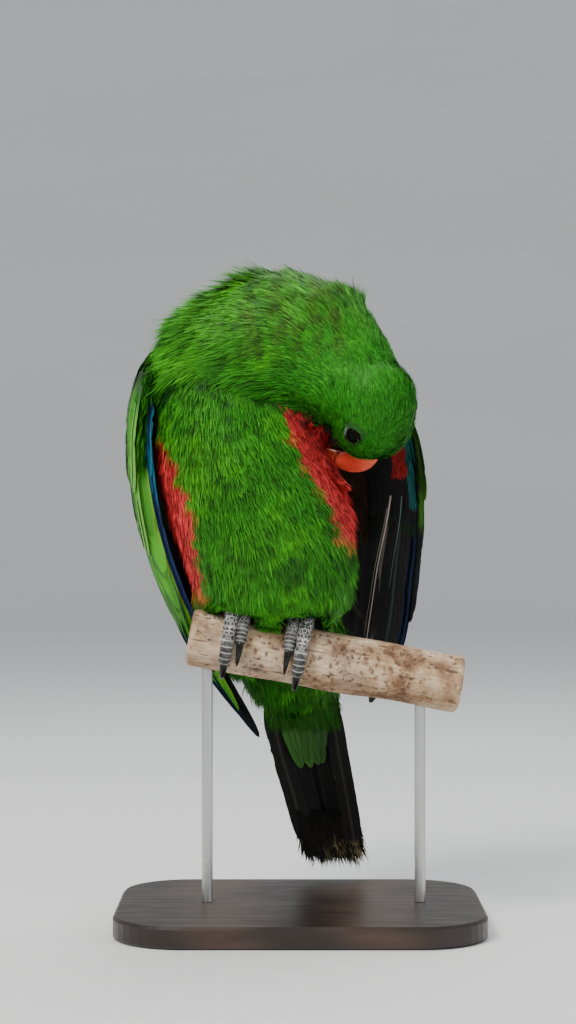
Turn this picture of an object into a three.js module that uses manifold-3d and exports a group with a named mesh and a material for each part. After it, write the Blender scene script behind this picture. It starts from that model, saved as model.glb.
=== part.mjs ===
// A male eclectus parrot at life size, perched upright and facing -Y, with its neck curled over its left
// shoulder and its bill under the raised left wing, as it preens. It stands on a short length of branch that
// a plain stand holds up. Millimetres, +Z up, +X to the bird's left, origin at the centre of the stand's foot.
import * as THREE from "three";
import { mergeVertices } from "three/addons/utils/BufferGeometryUtils.js";
import Module from "manifold-3d";

const wasm = await Module();
wasm.setup();

// Driving dimensions.
const GAP = 0.3; // clear space between neighbouring pieces
const BASE = { width: 200, depth: 150, height: 12, corner: 36, chamfer: 1.5 };
const ROD_RADIUS = 3;
const PERCH = { radius: 15.7, from: -60.5, to: 88, height: 132.6, slope: 0.171 };
const LIFT = 14; // raises the bird and its branch so that the tail clears the base
const VANE_THICKNESS = 0.7;
const EYE_RADIUS = 5.2;
const CLAW_LENGTH = 13;

const vec = (x, y, z) => new THREE.Vector3(x, y, z);
const TOWARD_VIEWER = vec(0, -1, 0);

// Solids

// A closed three.js geometry as a solid, turned to face outwards.
function solidOf(geometry) {
  const bare = new THREE.BufferGeometry();
  bare.setAttribute("position", geometry.getAttribute("position").clone());
  if (geometry.index) bare.setIndex(geometry.index.clone());
  const merged = mergeVertices(bare, 1e-4);
  const corners = merged.attributes.position.array;
  const faces = new Uint32Array(merged.index.array);
  const make = () =>
    new wasm.Manifold(new wasm.Mesh({ numProp: 3, vertProperties: corners, triVerts: faces }));
  const made = make();
  if (made.volume() >= 0) return made;
  for (let i = 0; i < faces.length; i += 3)
    [faces[i + 1], faces[i + 2]] = [faces[i + 2], faces[i + 1]];
  return make();
}

function geometryOf(manifold) {
  const mesh = manifold.getMesh();
  const corners = new Float32Array(mesh.numVert * 3);
  for (let i = 0; i < mesh.numVert; i++)
    corners.set(mesh.vertProperties.subarray(i * mesh.numProp, i * mesh.numProp + 3), i * 3);
  const geometry = new THREE.BufferGeometry();
  geometry.setAttribute("position", new THREE.BufferAttribute(corners, 3));
  geometry.setIndex(new THREE.BufferAttribute(mesh.triVerts, 1));
  geometry.computeVertexNormals();
  return geometry;
}

const join = (...solids) => solids.reduce((a, b) => a.add(b));
const cut = (solid, ...tools) => tools.reduce((a, b) => a.subtract(b), solid);

// Keeps a solid's largest closed surface, so that a loose scrap or a sealed hollow is dropped.
function largest(solid) {
  const pieces = solid.decompose().filter((piece) => piece.volume() > 0);
  return pieces.reduce((a, b) => (a.volume() > b.volume() ? a : b));
}

// A body of round section along a curve. Each station has its place, its half width to the side, and how far
// it reaches towards the front and the back; the ends are rounded over the given shares of its length.
class Form {
  constructor(stations, front = TOWARD_VIEWER, rounding = [0.2, 0.2]) {
    this.axis = new THREE.CatmullRomCurve3(stations.map(({ at }) => vec(...at)));
    this.reach = new THREE.CatmullRomCurve3(stations.map(({ r }) => vec(...r)));
    this.front = front;
    this.rounding = rounding;
  }

  frame(t) {
    const along = this.axis.getTangent(t).normalize();
    const side = along.clone().cross(this.front).normalize();
    return { at: this.axis.getPoint(t), along, side, front: side.clone().cross(along).normalize() };
  }

  // The point at a share t of the length and a turn from the side towards the front, grown outwards.
  point(t, turn, grow = 0) {
    const { at, along, side, front } = this.frame(t);
    const [e0, e1] = this.rounding;
    const cap = (share, e) => (share < e ? Math.sqrt(Math.max(0, 1 - ((e - share) / e) ** 2)) : 1);
    const round = cap(t, e0) * cap(1 - t, e1);
    const reach = this.reach.getPoint(t);
    const forward = Math.sin(turn) > 0 ? reach.y : reach.z;
    const ends = (1 - round) * (t < 0.5 ? -grow : grow);
    return at
      .addScaledVector(side, Math.cos(turn) * round * (reach.x + grow))
      .addScaledVector(front, Math.sin(turn) * round * (forward + grow))
      .addScaledVector(along, ends);
  }

  // A sphere drawn out over the form, with closer rings towards its rounded ends.
  solid(around, rings, grow = 0) {
    const geometry = new THREE.SphereGeometry(1, around, rings);
    const { position, uv } = geometry.attributes;
    for (let i = 0; i < position.count; i++) {
      const t = 0.5 - 0.5 * Math.cos(Math.PI * (1 - uv.getY(i)));
      const spot = this.point(t, uv.getX(i) * 2 * Math.PI, grow);
      position.setXYZ(i, spot.x, spot.y, spot.z);
    }
    // The seam's two columns are the same points, and the wrap is exact only if they are set alike.
    for (let row = 0; row <= rings; row++) {
      const first = row * (around + 1);
      position.copyAt(first + around, position, first);
    }
    return solidOf(geometry);
  }
}

// A thin plate between two like grids of points, closed round its rim, with both faces split alike.
function plate(rows, columns, place) {
  const positions = [];
  for (const side of [1, -1])
    for (let i = 0; i <= rows; i++)
      for (let j = 0; j <= columns; j++) positions.push(...place(i, j, side).toArray());
  const faces = [];
  const at = (i, j) => i * (columns + 1) + j;
  const under = (rows + 1) * (columns + 1);
  for (let i = 0; i < rows; i++)
    for (let j = 0; j < columns; j++) {
      const [a, b, c, d] = [at(i, j), at(i, j + 1), at(i + 1, j + 1), at(i + 1, j)];
      faces.push(a, b, c, a, c, d);
      faces.push(under + a, under + c, under + b, under + a, under + d, under + c);
    }
  const rim = [];
  for (let j = 0; j < columns; j++) rim.push(at(0, j));
  for (let i = 0; i < rows; i++) rim.push(at(i, columns));
  for (let j = columns; j > 0; j--) rim.push(at(rows, j));
  for (let i = rows; i > 0; i--) rim.push(at(i, 0));
  rim.forEach((a, k) => {
    const b = rim[(k + 1) % rim.length];
    faces.push(a, under + a, b, b, under + a, under + b);
  });
  const geometry = new THREE.BufferGeometry();
  geometry.setAttribute("position", new THREE.Float32BufferAttribute(positions, 3));
  geometry.setIndex(faces);
  return solidOf(geometry);
}

// Feathers

// How far along a vane its stations lie, and its half width there as a share of the widest.
const VANE_STATIONS = [0, 0.45, 0.85, 1];
const VANE_WIDTHS = [0.6, 1, 0.86, 0.24];

// One feather as a cambered vane: where(share) gives its shaft's point and the way its upper face looks.
function vane(where, halfWidth, { roll = 0, camber = 0, columns = 1, thickness = VANE_THICKNESS } = {}) {
  const step = 0.01;
  const rows = VANE_STATIONS.map((share, k) => {
    const { point, normal } = where(share);
    const ahead = where(Math.min(1, share + step)).point;
    const behind = where(Math.max(0, share - step)).point;
    const along = ahead.sub(behind).normalize();
    const side = normal.clone().cross(along).normalize();
    const up = along.clone().cross(side).normalize();
    const across = side.clone().multiplyScalar(Math.cos(roll)).addScaledVector(up, Math.sin(roll));
    const lift = along.clone().cross(across).normalize();
    return { point, across, lift, half: halfWidth * VANE_WIDTHS[k] };
  });
  return plate(VANE_STATIONS.length - 1, columns, (i, j, side) => {
    const { point, across, lift, half } = rows[i];
    const off = (2 * j) / columns - 1;
    return point
      .clone()
      .addScaledVector(across, off * half)
      .addScaledVector(lift, -camber * half * off * off + (side * thickness) / 2);
  });
}

// A bowed sheet through three edges and middle lines, each a list of places from its root to its tip.
class Sheet {
  constructor({ leading, middle, trailing, outward }) {
    const curve = (places) => new THREE.CatmullRomCurve3(places.map((p) => vec(...p)));
    [this.leading, this.middle, this.trailing] = [leading, middle, trailing].map(curve);
    this.outward = vec(...outward);
  }

  bare(s, t) {
    const [l, m, r] = [this.leading, this.middle, this.trailing].map((c) => c.getPoint(s));
    const control = m.multiplyScalar(2).addScaledVector(l, -0.5).addScaledVector(r, -0.5);
    return l
      .multiplyScalar((1 - t) ** 2)
      .addScaledVector(control, 2 * t * (1 - t))
      .addScaledVector(r, t * t);
  }

  normal(s, t) {
    const e = 0.02;
    const [s0, t0] = [Math.min(s, 0.93), Math.min(Math.max(t, 0.02), 0.98)];
    const ds = this.bare(s0 + e, t0).sub(this.bare(Math.max(0, s0 - e), t0));
    const dt = this.bare(s0, t0 + e).sub(this.bare(s0, t0 - e));
    const n = ds.cross(dt).normalize();
    return n.dot(this.outward) < 0 ? n.negate() : n;
  }

  // A point of the sheet, raised off it along its outward side.
  point(s, t, raise = 0) {
    return this.bare(s, t).addScaledVector(this.normal(s, t), raise);
  }

  // One feather laid on the sheet from its root to its tip, each given as [s, t, raise].
  feather(root, tip, halfWidth, options) {
    const mix = (k, share) => root[k] + (tip[k] - root[k]) * share;
    const where = (share) => ({
      point: this.point(mix(0, share), mix(1, share), mix(2, share)),
      normal: this.normal(mix(0, share), mix(1, share)),
    });
    return vane(where, halfWidth, options);
  }

  // A tier of like feathers, spread evenly from its first root and tip to its last.
  tier({ count, roots, tips, halfWidth, ...options }) {
    return Array.from({ length: count }, (_, k) => {
      const share = count > 1 ? k / (count - 1) : 0;
      const mix = ([a, b]) => a.map((value, i) => value + (b[i] - value) * share);
      return this.feather(mix(roots), mix(tips), halfWidth, options);
    });
  }

  // The flesh and small coverts under the feathers' roots: a lens that thins to its rim.
  pad({ from, to, inner, outer, rows = 6, columns = 5, rim = 0.5 }) {
    return plate(rows, columns, (i, j, side) => {
      const [a, b] = [i / rows, j / columns];
      const s = from[0] + (to[0] - from[0]) * a;
      const t = from[1] + (to[1] - from[1]) * b;
      const swell = Math.sqrt(Math.max(0, 1 - (2 * b - 1) ** 4)) * Math.sqrt(Math.max(0, 1 - (2 * a - 1) ** 6));
      return this.point(s, t, side > 0 ? rim + (outer - rim) * swell : inner * swell);
    });
  }
}

// Perch and stand

const perchAlong = vec(Math.cos(PERCH.slope), 0, -Math.sin(PERCH.slope));
const perchUp = vec(Math.sin(PERCH.slope), 0, Math.cos(PERCH.slope));
const perchAt = (x) => vec(x, 0, PERCH.height - x * Math.tan(PERCH.slope));

// A cut branch: a cylinder whose girth swells and dips along its length and round it.
function branch(grow = 0) {
  const around = 24;
  const rings = 9;
  const geometry = new THREE.CylinderGeometry(1, 1, 1, around, rings);
  const { position } = geometry.attributes;
  const length = (PERCH.to - PERCH.from) / Math.cos(PERCH.slope);
  const start = perchAt(PERCH.from);
  for (let i = 0; i < position.count; i++) {
    const [x, share, z] = [position.getX(i), position.getY(i) + 0.5, position.getZ(i)];
    const turn = Math.atan2(z, x);
    const swell =
      0.35 * Math.sin(9 * share + 2 * turn) + 0.25 * Math.sin(17 * share + turn) + 0.3 * Math.cos(3 * turn + 1);
    const radius = Math.hypot(x, z) * (PERCH.radius + swell + grow);
    const spot = start
      .clone()
      .addScaledVector(perchAlong, share * (length + 2 * grow) - grow)
      .addScaledVector(TOWARD_VIEWER, radius * Math.cos(turn))
      .addScaledVector(perchUp, radius * Math.sin(turn));
    position.setXYZ(i, spot.x, spot.y, spot.z);
  }
  return solidOf(geometry);
}

function standBase() {
  const shape = new THREE.Shape();
  const [w, d, r] = [BASE.width / 2 - BASE.chamfer, BASE.depth / 2 - BASE.chamfer, BASE.corner];
  shape.moveTo(-w + r, -d);
  shape.lineTo(w - r, -d).absarc(w - r, -d + r, r, -Math.PI / 2, 0);
  shape.lineTo(w, d - r).absarc(w - r, d - r, r, 0, Math.PI / 2);
  shape.lineTo(-w + r, d).absarc(-w + r, d - r, r, Math.PI / 2, Math.PI);
  shape.lineTo(-w, -d + r).absarc(-w + r, -d + r, r, Math.PI, 1.5 * Math.PI);
  const geometry = new THREE.ExtrudeGeometry(shape, {
    depth: BASE.height - 2 * BASE.chamfer,
    bevelThickness: BASE.chamfer,
    bevelSize: BASE.chamfer,
    bevelSegments: 1,
    curveSegments: 5,
  });
  geometry.translate(0, 0, BASE.chamfer - LIFT);
  return solidOf(geometry);
}

// A rod that stands on the base and reaches the underside of the branch.
function standRod(x) {
  const top = perchAt(x).z;
  const bottom = BASE.height + GAP - LIFT;
  const geometry = new THREE.CylinderGeometry(ROD_RADIUS, ROD_RADIUS, top - bottom, 16);
  geometry.rotateX(Math.PI / 2).translate(x, 0, (top + bottom) / 2);
  return largest(cut(solidOf(geometry), branch(GAP)));
}

// Body

// The torso from the vent, behind the branch, up to the base of the neck.
const torsoForm = new Form(
  [
    { at: [-3, 51, 98], r: [17, 8, 8] },
    { at: [-4, 47, 114], r: [27, 14, 13] },
    { at: [-7, 42, 133], r: [34, 20, 20] },
    { at: [-15, 31, 151], r: [41, 30, 31] },
    { at: [-15, 17, 174], r: [46, 45, 42] },
    { at: [-19, 9, 204], r: [50, 51, 46] },
    { at: [-29, 5, 233], r: [50, 51, 47] },
    { at: [-36, 3, 261], r: [46, 45, 44] },
    { at: [-38, 2, 289], r: [41, 37, 39] },
    { at: [-34, 2, 313], r: [33, 30, 31] },
    { at: [-28, 1, 333], r: [20, 21, 21] },
  ],
  TOWARD_VIEWER,
  [0.1, 0.09],
);

// The neck, curled over the left shoulder.
const neckForm = new Form(
  [
    { at: [-62, 2, 288], r: [24, 24, 22] },
    { at: [-43, -3, 297], r: [34, 34, 30] },
    { at: [-19, -8, 303], r: [40, 37, 31] },
    { at: [3, -13, 302], r: [40, 36, 30] },
    { at: [19, -19, 292], r: [34, 31, 28] },
    { at: [30, -25, 279.5], r: [28.5, 27, 25] },
    { at: [37.5, -28, 265], r: [24.5, 24, 23] },
  ],
  TOWARD_VIEWER,
  [0.2, 0.05],
);

// The head has its own frame: forward to the bill, up to the crown, and right to the side that is seen.
const HEAD_CENTRE = vec(37.4, -30, 267.3);
const forward = vec(-0.057, 0.518, -0.853).normalize();
const rightward = forward.clone().cross(vec(0.82, -0.463, -0.336)).normalize();
const crownward = rightward.clone().cross(forward);
const inHead = (f, u, r = 0) =>
  HEAD_CENTRE.clone()
    .addScaledVector(forward, f)
    .addScaledVector(crownward, u)
    .addScaledVector(rightward, r);
const headStations = (rows) => rows.map(([f, u, ...r]) => ({ at: inHead(f, u).toArray(), r }));

const headForm = new Form(
  headStations([
    [-28, 1, 20, 20, 18],
    [-14, 2, 23.5, 23, 21],
    [0, 2, 24.5, 24, 22],
    [11, 1, 22, 22, 21],
    [19, -1, 18, 17.5, 18],
    [27, -3, 13, 12, 13.5],
  ]),
  crownward,
  [0.25, 0.16],
);

// The cheeks and chin, which swell over the root of the lower bill.
const cheeks = (grow = 0) =>
  solidOf(
    new THREE.SphereGeometry(1, 18, 12)
      .scale(17 + grow, 14.5 + grow, 20 + grow)
      .applyMatrix4(
        new THREE.Matrix4().makeBasis(forward, crownward, rightward).setPosition(inHead(1, -12)),
      ),
  );

const billUpperForm = new Form(
  headStations([
    [15, -2, 9.3, 10.5, 10.5],
    [23, -2, 9, 10.5, 9.5],
    [30, -4, 7.8, 9, 7.5],
    [35.5, -11, 5.8, 6.4, 5],
    [36.5, -19, 3.6, 3.8, 3],
    [34, -26, 1.4, 1.4, 1.2],
  ]),
  crownward,
  [0.1, 0.12],
);

const billLowerForm = new Form(
  headStations([
    [14, -14, 7.6, 5, 5],
    [20, -17, 7.2, 4.5, 5],
    [25.5, -20, 5.8, 3, 4],
    [29.5, -21.5, 3.5, 1.6, 2],
  ]),
  crownward,
  [0.15, 0.2],
);

const eyeSpot = (side) => inHead(5.8, 3.6, side * 18.6);
const ball = (spot, radius) =>
  solidOf(new THREE.SphereGeometry(radius, 12, 9).translate(spot.x, spot.y, spot.z));

// A lid is a ring of skin round the eye, sunk in the face.
function lid(side) {
  const ring = new THREE.TorusGeometry(EYE_RADIUS + 0.1, 1, 5, 14);
  const facing = new THREE.Quaternion().setFromUnitVectors(
    vec(0, 0, 1),
    rightward.clone().multiplyScalar(side),
  );
  const spot = inHead(5.8, 3.6, side * 20.4);
  ring.applyQuaternion(facing).translate(spot.x, spot.y, spot.z);
  return solidOf(ring);
}

// Feet: two toes forward and two back, each bent round the branch.

const FOOT_SPOTS = { right: -36.5, left: -3.5 };
const OUTWARD = { right: -1, left: 1 };
// Each toe: its sideways place at the root and at the tip, the angles it spans from the front, its girth.
const TOES = [
  { name: "inner_front", root: -3, tip: -3.6, from: 96, to: 6, girth: [3.7, 2.9] },
  { name: "outer_front", root: 3.4, tip: 3.2, from: 96, to: -34, girth: [4.3, 3] },
  { name: "inner_back", root: -3, tip: -5, from: 84, to: 168, girth: [3.4, 2.7] },
  { name: "outer_back", root: 3.4, tip: 9, from: 84, to: 208, girth: [4, 2.9] },
];

// A point round the branch at an angle from the front (0) over the top (90), a distance off its bark.
function roundPerch(x, angle, off) {
  const turn = THREE.MathUtils.degToRad(angle);
  const radius = PERCH.radius + 0.9 + off;
  return perchAt(0)
    .addScaledVector(perchAlong, x / Math.cos(PERCH.slope))
    .addScaledVector(TOWARD_VIEWER, radius * Math.cos(turn))
    .addScaledVector(perchUp, radius * Math.sin(turn));
}

function toeForm(side, { root, tip, from, to, girth }) {
  const steps = 5;
  const stations = Array.from({ length: steps + 1 }, (_, k) => {
    const share = k / steps;
    const pad = 0.25 * Math.sin(share * Math.PI * steps);
    const half = THREE.MathUtils.lerp(girth[0], girth[1], share) + pad;
    const x = FOOT_SPOTS[side] + OUTWARD[side] * THREE.MathUtils.lerp(root, tip, share);
    const at = roundPerch(x, THREE.MathUtils.lerp(from, to, share), half).toArray();
    return { at, r: [half, half, half] };
  });
  return new Form(stations, perchAlong, [0.12, 0.1]);
}

function clawForm(side, { tip, from, to, girth }) {
  const turnPerMm = THREE.MathUtils.radToDeg(1 / (PERCH.radius + 3)) * Math.sign(to - from);
  const shares = [-0.15, 0.2, 0.5, 0.8, 1];
  const stations = shares.map((share) => {
    const half = THREE.MathUtils.lerp(girth[1] * 0.72, 0.6, Math.max(0, share));
    const off = girth[1] + 0.4 + 1.6 * Math.sin(Math.PI * Math.max(0, share)) - 1.4 * share;
    const x = FOOT_SPOTS[side] + OUTWARD[side] * tip;
    const at = roundPerch(x, to + share * CLAW_LENGTH * turnPerMm, Math.max(off, half)).toArray();
    return { at, r: [half * 0.8, half, half] };
  });
  return new Form(stations, perchAlong, [0.1, 0.15]);
}

// The sole where the four toes meet, flattened on the branch.
const soleForm = (side) =>
  new Form(
    [72, 84, 96, 108].map((angle) => ({ at: roundPerch(FOOT_SPOTS[side], angle, 4.2).toArray(), r: [6.6, 4, 3.6] })),
    perchUp,
    [0.3, 0.3],
  );

// The bare shank, from the sole up into the belly.
const shankForm = (side) =>
  new Form(
    [
      { at: roundPerch(FOOT_SPOTS[side], 92, 5).toArray(), r: [5.2, 4.6, 4.6] },
      { at: roundPerch(FOOT_SPOTS[side], 99, 12).toArray(), r: [4.8, 4.4, 4.4] },
      { at: roundPerch(FOOT_SPOTS[side], 104, 20).toArray(), r: [4.6, 4.4, 4.4] },
      { at: roundPerch(FOOT_SPOTS[side], 106, 28).toArray(), r: [5.2, 5, 5] },
    ],
    perchAlong,
    [0.2, 0.3],
  );

const foot = (side, grow = 0) =>
  join(soleForm(side).solid(10, 7, grow), ...TOES.map((toe) => toeForm(side, toe).solid(7, 9, grow)));

// The room the belly leaves round a foot: a sleeve about the branch that holds its toes and claws.
function sleeve(side) {
  const [reach, width] = [PERCH.radius + 11, 22];
  const geometry = new THREE.CylinderGeometry(reach, reach, width, 24);
  geometry.rotateZ(Math.PI / 2).rotateY(PERCH.slope);
  const spot = perchAt(FOOT_SPOTS[side] + OUTWARD[side] * 2.5);
  return solidOf(geometry.translate(spot.x, spot.y, spot.z));
}

// Wings

// The folded right wing wraps the body from its leading edge in front to its trailing edge on the back.
const rightWing = new Sheet({
  leading: [[-77, -18, 293], [-83, -20, 258], [-80, -16, 220], [-71, 2, 181], [-56, 25, 143], [-20, 42, 81]],
  middle: [[-80, 6, 302], [-86, 12, 262], [-84, 17, 222], [-75, 27, 183], [-58, 38, 143], [-20.5, 43, 81]],
  trailing: [[-62, 34, 314], [-66, 46, 264], [-60, 52, 222], [-50, 56, 183], [-40, 54, 143], [-19.5, 45, 81]],
  outward: [-1, 0, 0.1],
});

// The left wing is raised off the flank, so that its underside faces forward.
const leftWing = new Sheet({
  leading: [[51, 4, 282], [62, 8, 248], [66, 18, 214], [66, 36, 181], [61, 62, 138], [41, 104, 95]],
  middle: [[38, 26, 290], [44, 36, 251], [47, 48, 216], [47, 62, 182], [46, 78, 140], [40.5, 105, 95]],
  trailing: [[10, 36, 294], [13, 48, 252], [18, 62, 218], [23, 74, 184], [24, 85, 142], [38.5, 104.5, 95]],
  outward: [0.6, 0.8, 0],
});

// The tiers of feathers, from the ones nearest the body outwards, as [along, across, raised] in the sheet.
const PRIMARIES = {
  count: 8,
  roots: [[0.34, 0.1, 1], [0.42, 0.62, 2.6]],
  tips: [[0.985, 0.25, 0.4], [0.84, 0.92, 2.4]],
  halfWidth: 7.5,
  roll: 0.16,
};
const SECONDARIES = {
  count: 6,
  roots: [[0.3, 0.32, 3.4], [0.22, 0.84, 4.6]],
  tips: [[0.78, 0.42, 4.8], [0.68, 0.9, 4.4]],
  halfWidth: 9,
  roll: 0.14,
};
const GREATER_COVERTS = {
  count: 6,
  roots: [[0.2, 0.14, 5], [0.16, 0.86, 5.6]],
  tips: [[0.52, 0.2, 7], [0.42, 0.88, 7]],
  halfWidth: 8.4,
  roll: 0.14,
};
const MEDIAN_COVERTS = {
  count: 5,
  roots: [[0.08, 0.14, 5.4], [0.05, 0.84, 6]],
  tips: [[0.34, 0.16, 8.6], [0.28, 0.86, 8.6]],
  halfWidth: 9,
  roll: 0.14,
};
const TIERS = [PRIMARIES, SECONDARIES, GREATER_COVERTS, MEDIAN_COVERTS];

// One wing: the fleshy arm with every tier of feathers rooted in it.
function wing(sheet) {
  const arm = sheet.pad({ from: [0, 0], to: [0.5, 1], inner: -0.6, outer: 6.8 });
  return join(arm, ...TIERS.flatMap((tier) => sheet.tier(tier)));
}

// Tail

const tailSheet = new Sheet({
  leading: [[-24, 47, 124], [-22, 53, 102], [-17, 60, 78], [-8, 69, 45], [1, 77, 11.5]],
  middle: [[0, 50, 124], [1, 56, 102], [5, 63, 77], [13, 72, 44], [20, 80, 9.8]],
  trailing: [[22, 47, 124], [24, 53, 102], [28, 60, 78], [34, 69, 45], [39.5, 77, 11.5]],
  outward: [0, 1, 0.2],
});

function tail() {
  const root = tailSheet.pad({ from: [0, 0.04], to: [0.34, 0.96], inner: -6, outer: 6, rows: 6 });
  const half = 5;
  const rectrices = [0, 1].flatMap((side) =>
    Array.from({ length: 6 }, (_, k) => {
      const off = (k + 0.5) / 6;
      const t = 0.5 + (side ? 1 : -1) * off * 0.44;
      const raise = 3.2 - 1.15 * k - 0.5 * side;
      const spread = 0.5 + (side ? 1 : -1) * off * 0.4;
      return tailSheet.feather([0.12, t, raise], [1 - 0.07 * off * off, spread, raise], half + 0.8);
    }),
  );
  const under = tailSheet.tier({
    count: 5,
    roots: [[0.02, 0.14, -4.4], [0.02, 0.86, -4.4]],
    tips: [[0.34, 0.2, -5], [0.34, 0.8, -5]],
    halfWidth: 5.5,
  });
  const underLong = tailSheet.tier({
    count: 3,
    roots: [[0.06, 0.3, -3.6], [0.06, 0.7, -3.6]],
    tips: [[0.5, 0.34, -4.2], [0.5, 0.66, -4.2]],
    halfWidth: 6,
  });
  const over = tailSheet.tier({
    count: 5,
    roots: [[0.02, 0.14, 4.6], [0.02, 0.86, 4.6]],
    tips: [[0.36, 0.18, 5.4], [0.36, 0.82, 5.4]],
    halfWidth: 6,
  });
  return join(root, ...rectrices, ...under, ...underLong, ...over);
}

// Assembly

const parrot = new THREE.Group();

function add(name, solid, color, roughness, metalness = 0) {
  const material = new THREE.MeshStandardMaterial({ color, roughness, metalness });
  const mesh = new THREE.Mesh(geometryOf(largest(solid)).translate(0, 0, LIFT), material);
  mesh.name = name;
  parrot.add(mesh);
}

const SIDES = ["right", "left"];
const perchRoom = branch(GAP);
const torsoRoom = torsoForm.solid(28, 22, GAP);
const neckRoom = neckForm.solid(22, 13, GAP);
const headRoom = join(headForm.solid(20, 14, GAP), cheeks(GAP));
const legRoom = SIDES.map((side) => join(sleeve(side), shankForm(side).solid(9, 7, GAP)));
const eyeRoom = [1, -1].map((side) => ball(eyeSpot(side), EYE_RADIUS + GAP));
const upperRoom = join(billUpperForm.solid(16, 13, GAP), billUpperForm.solid(16, 13));
const billRoom = join(upperRoom, billLowerForm.solid(12, 8, GAP));
const billHollow = solidOf(
  new THREE.SphereGeometry(1, 24, 16).scale(19, 19, 14).applyMatrix4(
    new THREE.Matrix4().makeBasis(forward, crownward, rightward).setPosition(inHead(29, -12)),
  ),
);

const GREEN = 0x2f8a1c;
add("torso", cut(torsoForm.solid(28, 22), perchRoom, billHollow, ...legRoom), GREEN, 0.7);
add("neck", cut(neckForm.solid(22, 13), torsoRoom, headRoom, billRoom), GREEN, 0.7);
add("head", cut(join(headForm.solid(20, 14), cheeks(), lid(1), lid(-1)), torsoRoom, billRoom, ...eyeRoom), GREEN, 0.7);
add("eye_right", ball(eyeSpot(1), EYE_RADIUS), 0x1a0d06, 0.1);
add("eye_left", ball(eyeSpot(-1), EYE_RADIUS), 0x1a0d06, 0.1);
add("bill_upper", billUpperForm.solid(16, 13), 0xe0512c, 0.35);
add("bill_lower", cut(billLowerForm.solid(12, 8), upperRoom), 0x141414, 0.4);
add("wing_right", cut(wing(rightWing), torsoRoom, neckRoom, perchRoom), 0x3c9a1e, 0.55);
add("wing_left", cut(wing(leftWing), torsoRoom, neckRoom, headRoom, billRoom), 0x151515, 0.55);
add("tail", cut(tail(), torsoRoom, perchRoom), 0x12140f, 0.55);
for (const side of SIDES) {
  const footRoom = foot(side, GAP);
  add("leg_" + side, cut(shankForm(side).solid(9, 7), footRoom, perchRoom), 0x8a8a86, 0.75);
  add("foot_" + side, cut(foot(side), perchRoom), 0x8a8a86, 0.75);
  for (const toe of TOES)
    add(`claw_${side}_${toe.name}`, cut(clawForm(side, toe).solid(6, 6), footRoom, perchRoom), 0x161616, 0.35);
}
add("perch", branch(), 0xb08d72, 0.9);
add("stand_base", standBase(), 0x2b211b, 0.5);
add("stand_rod_right", standRod(-51), 0x8f8f8f, 0.35, 0.9);
add("stand_rod_left", standRod(66), 0x8f8f8f, 0.35, 0.9);

export default parrot;
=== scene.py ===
import math

import bpy
import numpy as np
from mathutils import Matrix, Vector


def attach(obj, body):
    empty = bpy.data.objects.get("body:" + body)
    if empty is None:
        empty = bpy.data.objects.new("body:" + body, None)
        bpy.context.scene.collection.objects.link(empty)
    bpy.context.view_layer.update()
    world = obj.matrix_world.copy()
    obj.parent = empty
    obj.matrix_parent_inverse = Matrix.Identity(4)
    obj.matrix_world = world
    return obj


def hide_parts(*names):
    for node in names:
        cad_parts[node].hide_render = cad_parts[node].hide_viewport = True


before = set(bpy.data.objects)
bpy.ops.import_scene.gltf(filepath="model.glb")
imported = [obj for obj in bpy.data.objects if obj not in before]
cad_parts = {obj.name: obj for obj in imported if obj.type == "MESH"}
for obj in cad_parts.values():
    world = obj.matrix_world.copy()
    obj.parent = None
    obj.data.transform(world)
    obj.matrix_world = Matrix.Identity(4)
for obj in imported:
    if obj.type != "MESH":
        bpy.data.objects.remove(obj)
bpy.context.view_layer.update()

scene = bpy.context.scene
rng = np.random.default_rng(7)
COAT = 1.0
LIFT = 0.014


# shared helpers:
# Small vector and mesh tools that every section below uses: all lengths are in metres, and every
# mesh is built from arrays of points and faces.
def unit(v):
    v = np.asarray(v, float)
    return v / np.maximum(np.linalg.norm(v, axis=-1, keepdims=True), 1e-12)


def mm(*xyz):
    return np.array(xyz, float) / 1000 + np.array([0, 0, LIFT])


def smoothstep(a, b, x):
    k = np.clip((x - a) / (b - a), 0, 1)
    return k * k * (3 - 2 * k)


def mesh_of(name, points, faces, layers=(), uvs=(), normals=None):
    """An object from points and faces of three or four corners (a fourth of -1 marks a triangle)."""
    faces = np.asarray(faces, np.int32)
    if faces.shape[1] == 3:
        faces = np.hstack([faces, np.full((len(faces), 1), -1, np.int32)])
    sides = np.where(faces[:, 3] < 0, 3, 4)
    corners = faces.ravel()
    corners = corners[corners >= 0]
    mesh = bpy.data.meshes.new(name)
    mesh.vertices.add(len(points))
    mesh.vertices.foreach_set("co", np.asarray(points, np.float32).ravel())
    mesh.loops.add(len(corners))
    mesh.loops.foreach_set("vertex_index", corners)
    mesh.polygons.add(len(faces))
    mesh.polygons.foreach_set("loop_start", np.concatenate([[0], np.cumsum(sides)[:-1]]).astype(np.int32))
    mesh.polygons.foreach_set("use_smooth", np.ones(len(faces), bool))
    mesh.update(calc_edges=True)
    for key, values in layers:
        values = np.asarray(values, np.float32)
        if values.ndim == 2:
            rgba = np.ones((len(values), 4), np.float32)
            rgba[:, :3] = values
            mesh.attributes.new(key, "FLOAT_COLOR", "POINT").data.foreach_set("color", rgba.ravel())
        else:
            mesh.attributes.new(key, "FLOAT", "POINT").data.foreach_set("value", values)
    for key, values in uvs:
        layer = mesh.uv_layers.new(name=key)
        layer.uv.foreach_set("vector", np.asarray(values, np.float32)[corners].ravel())
    if normals is not None:
        mesh.normals_split_custom_set_from_vertices(np.asarray(normals, np.float32))
    made = bpy.data.objects.new(name, mesh)
    scene.collection.objects.link(made)
    return made


def dress(made, material, *nodes, slot=None):
    """Gives a piece its material, its body and the nodes it stands for; the slot argument is not used."""
    made.data.materials.clear()
    made.data.materials.append(material)
    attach(made, "root")
    if nodes:
        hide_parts(*nodes)
    return made


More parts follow.
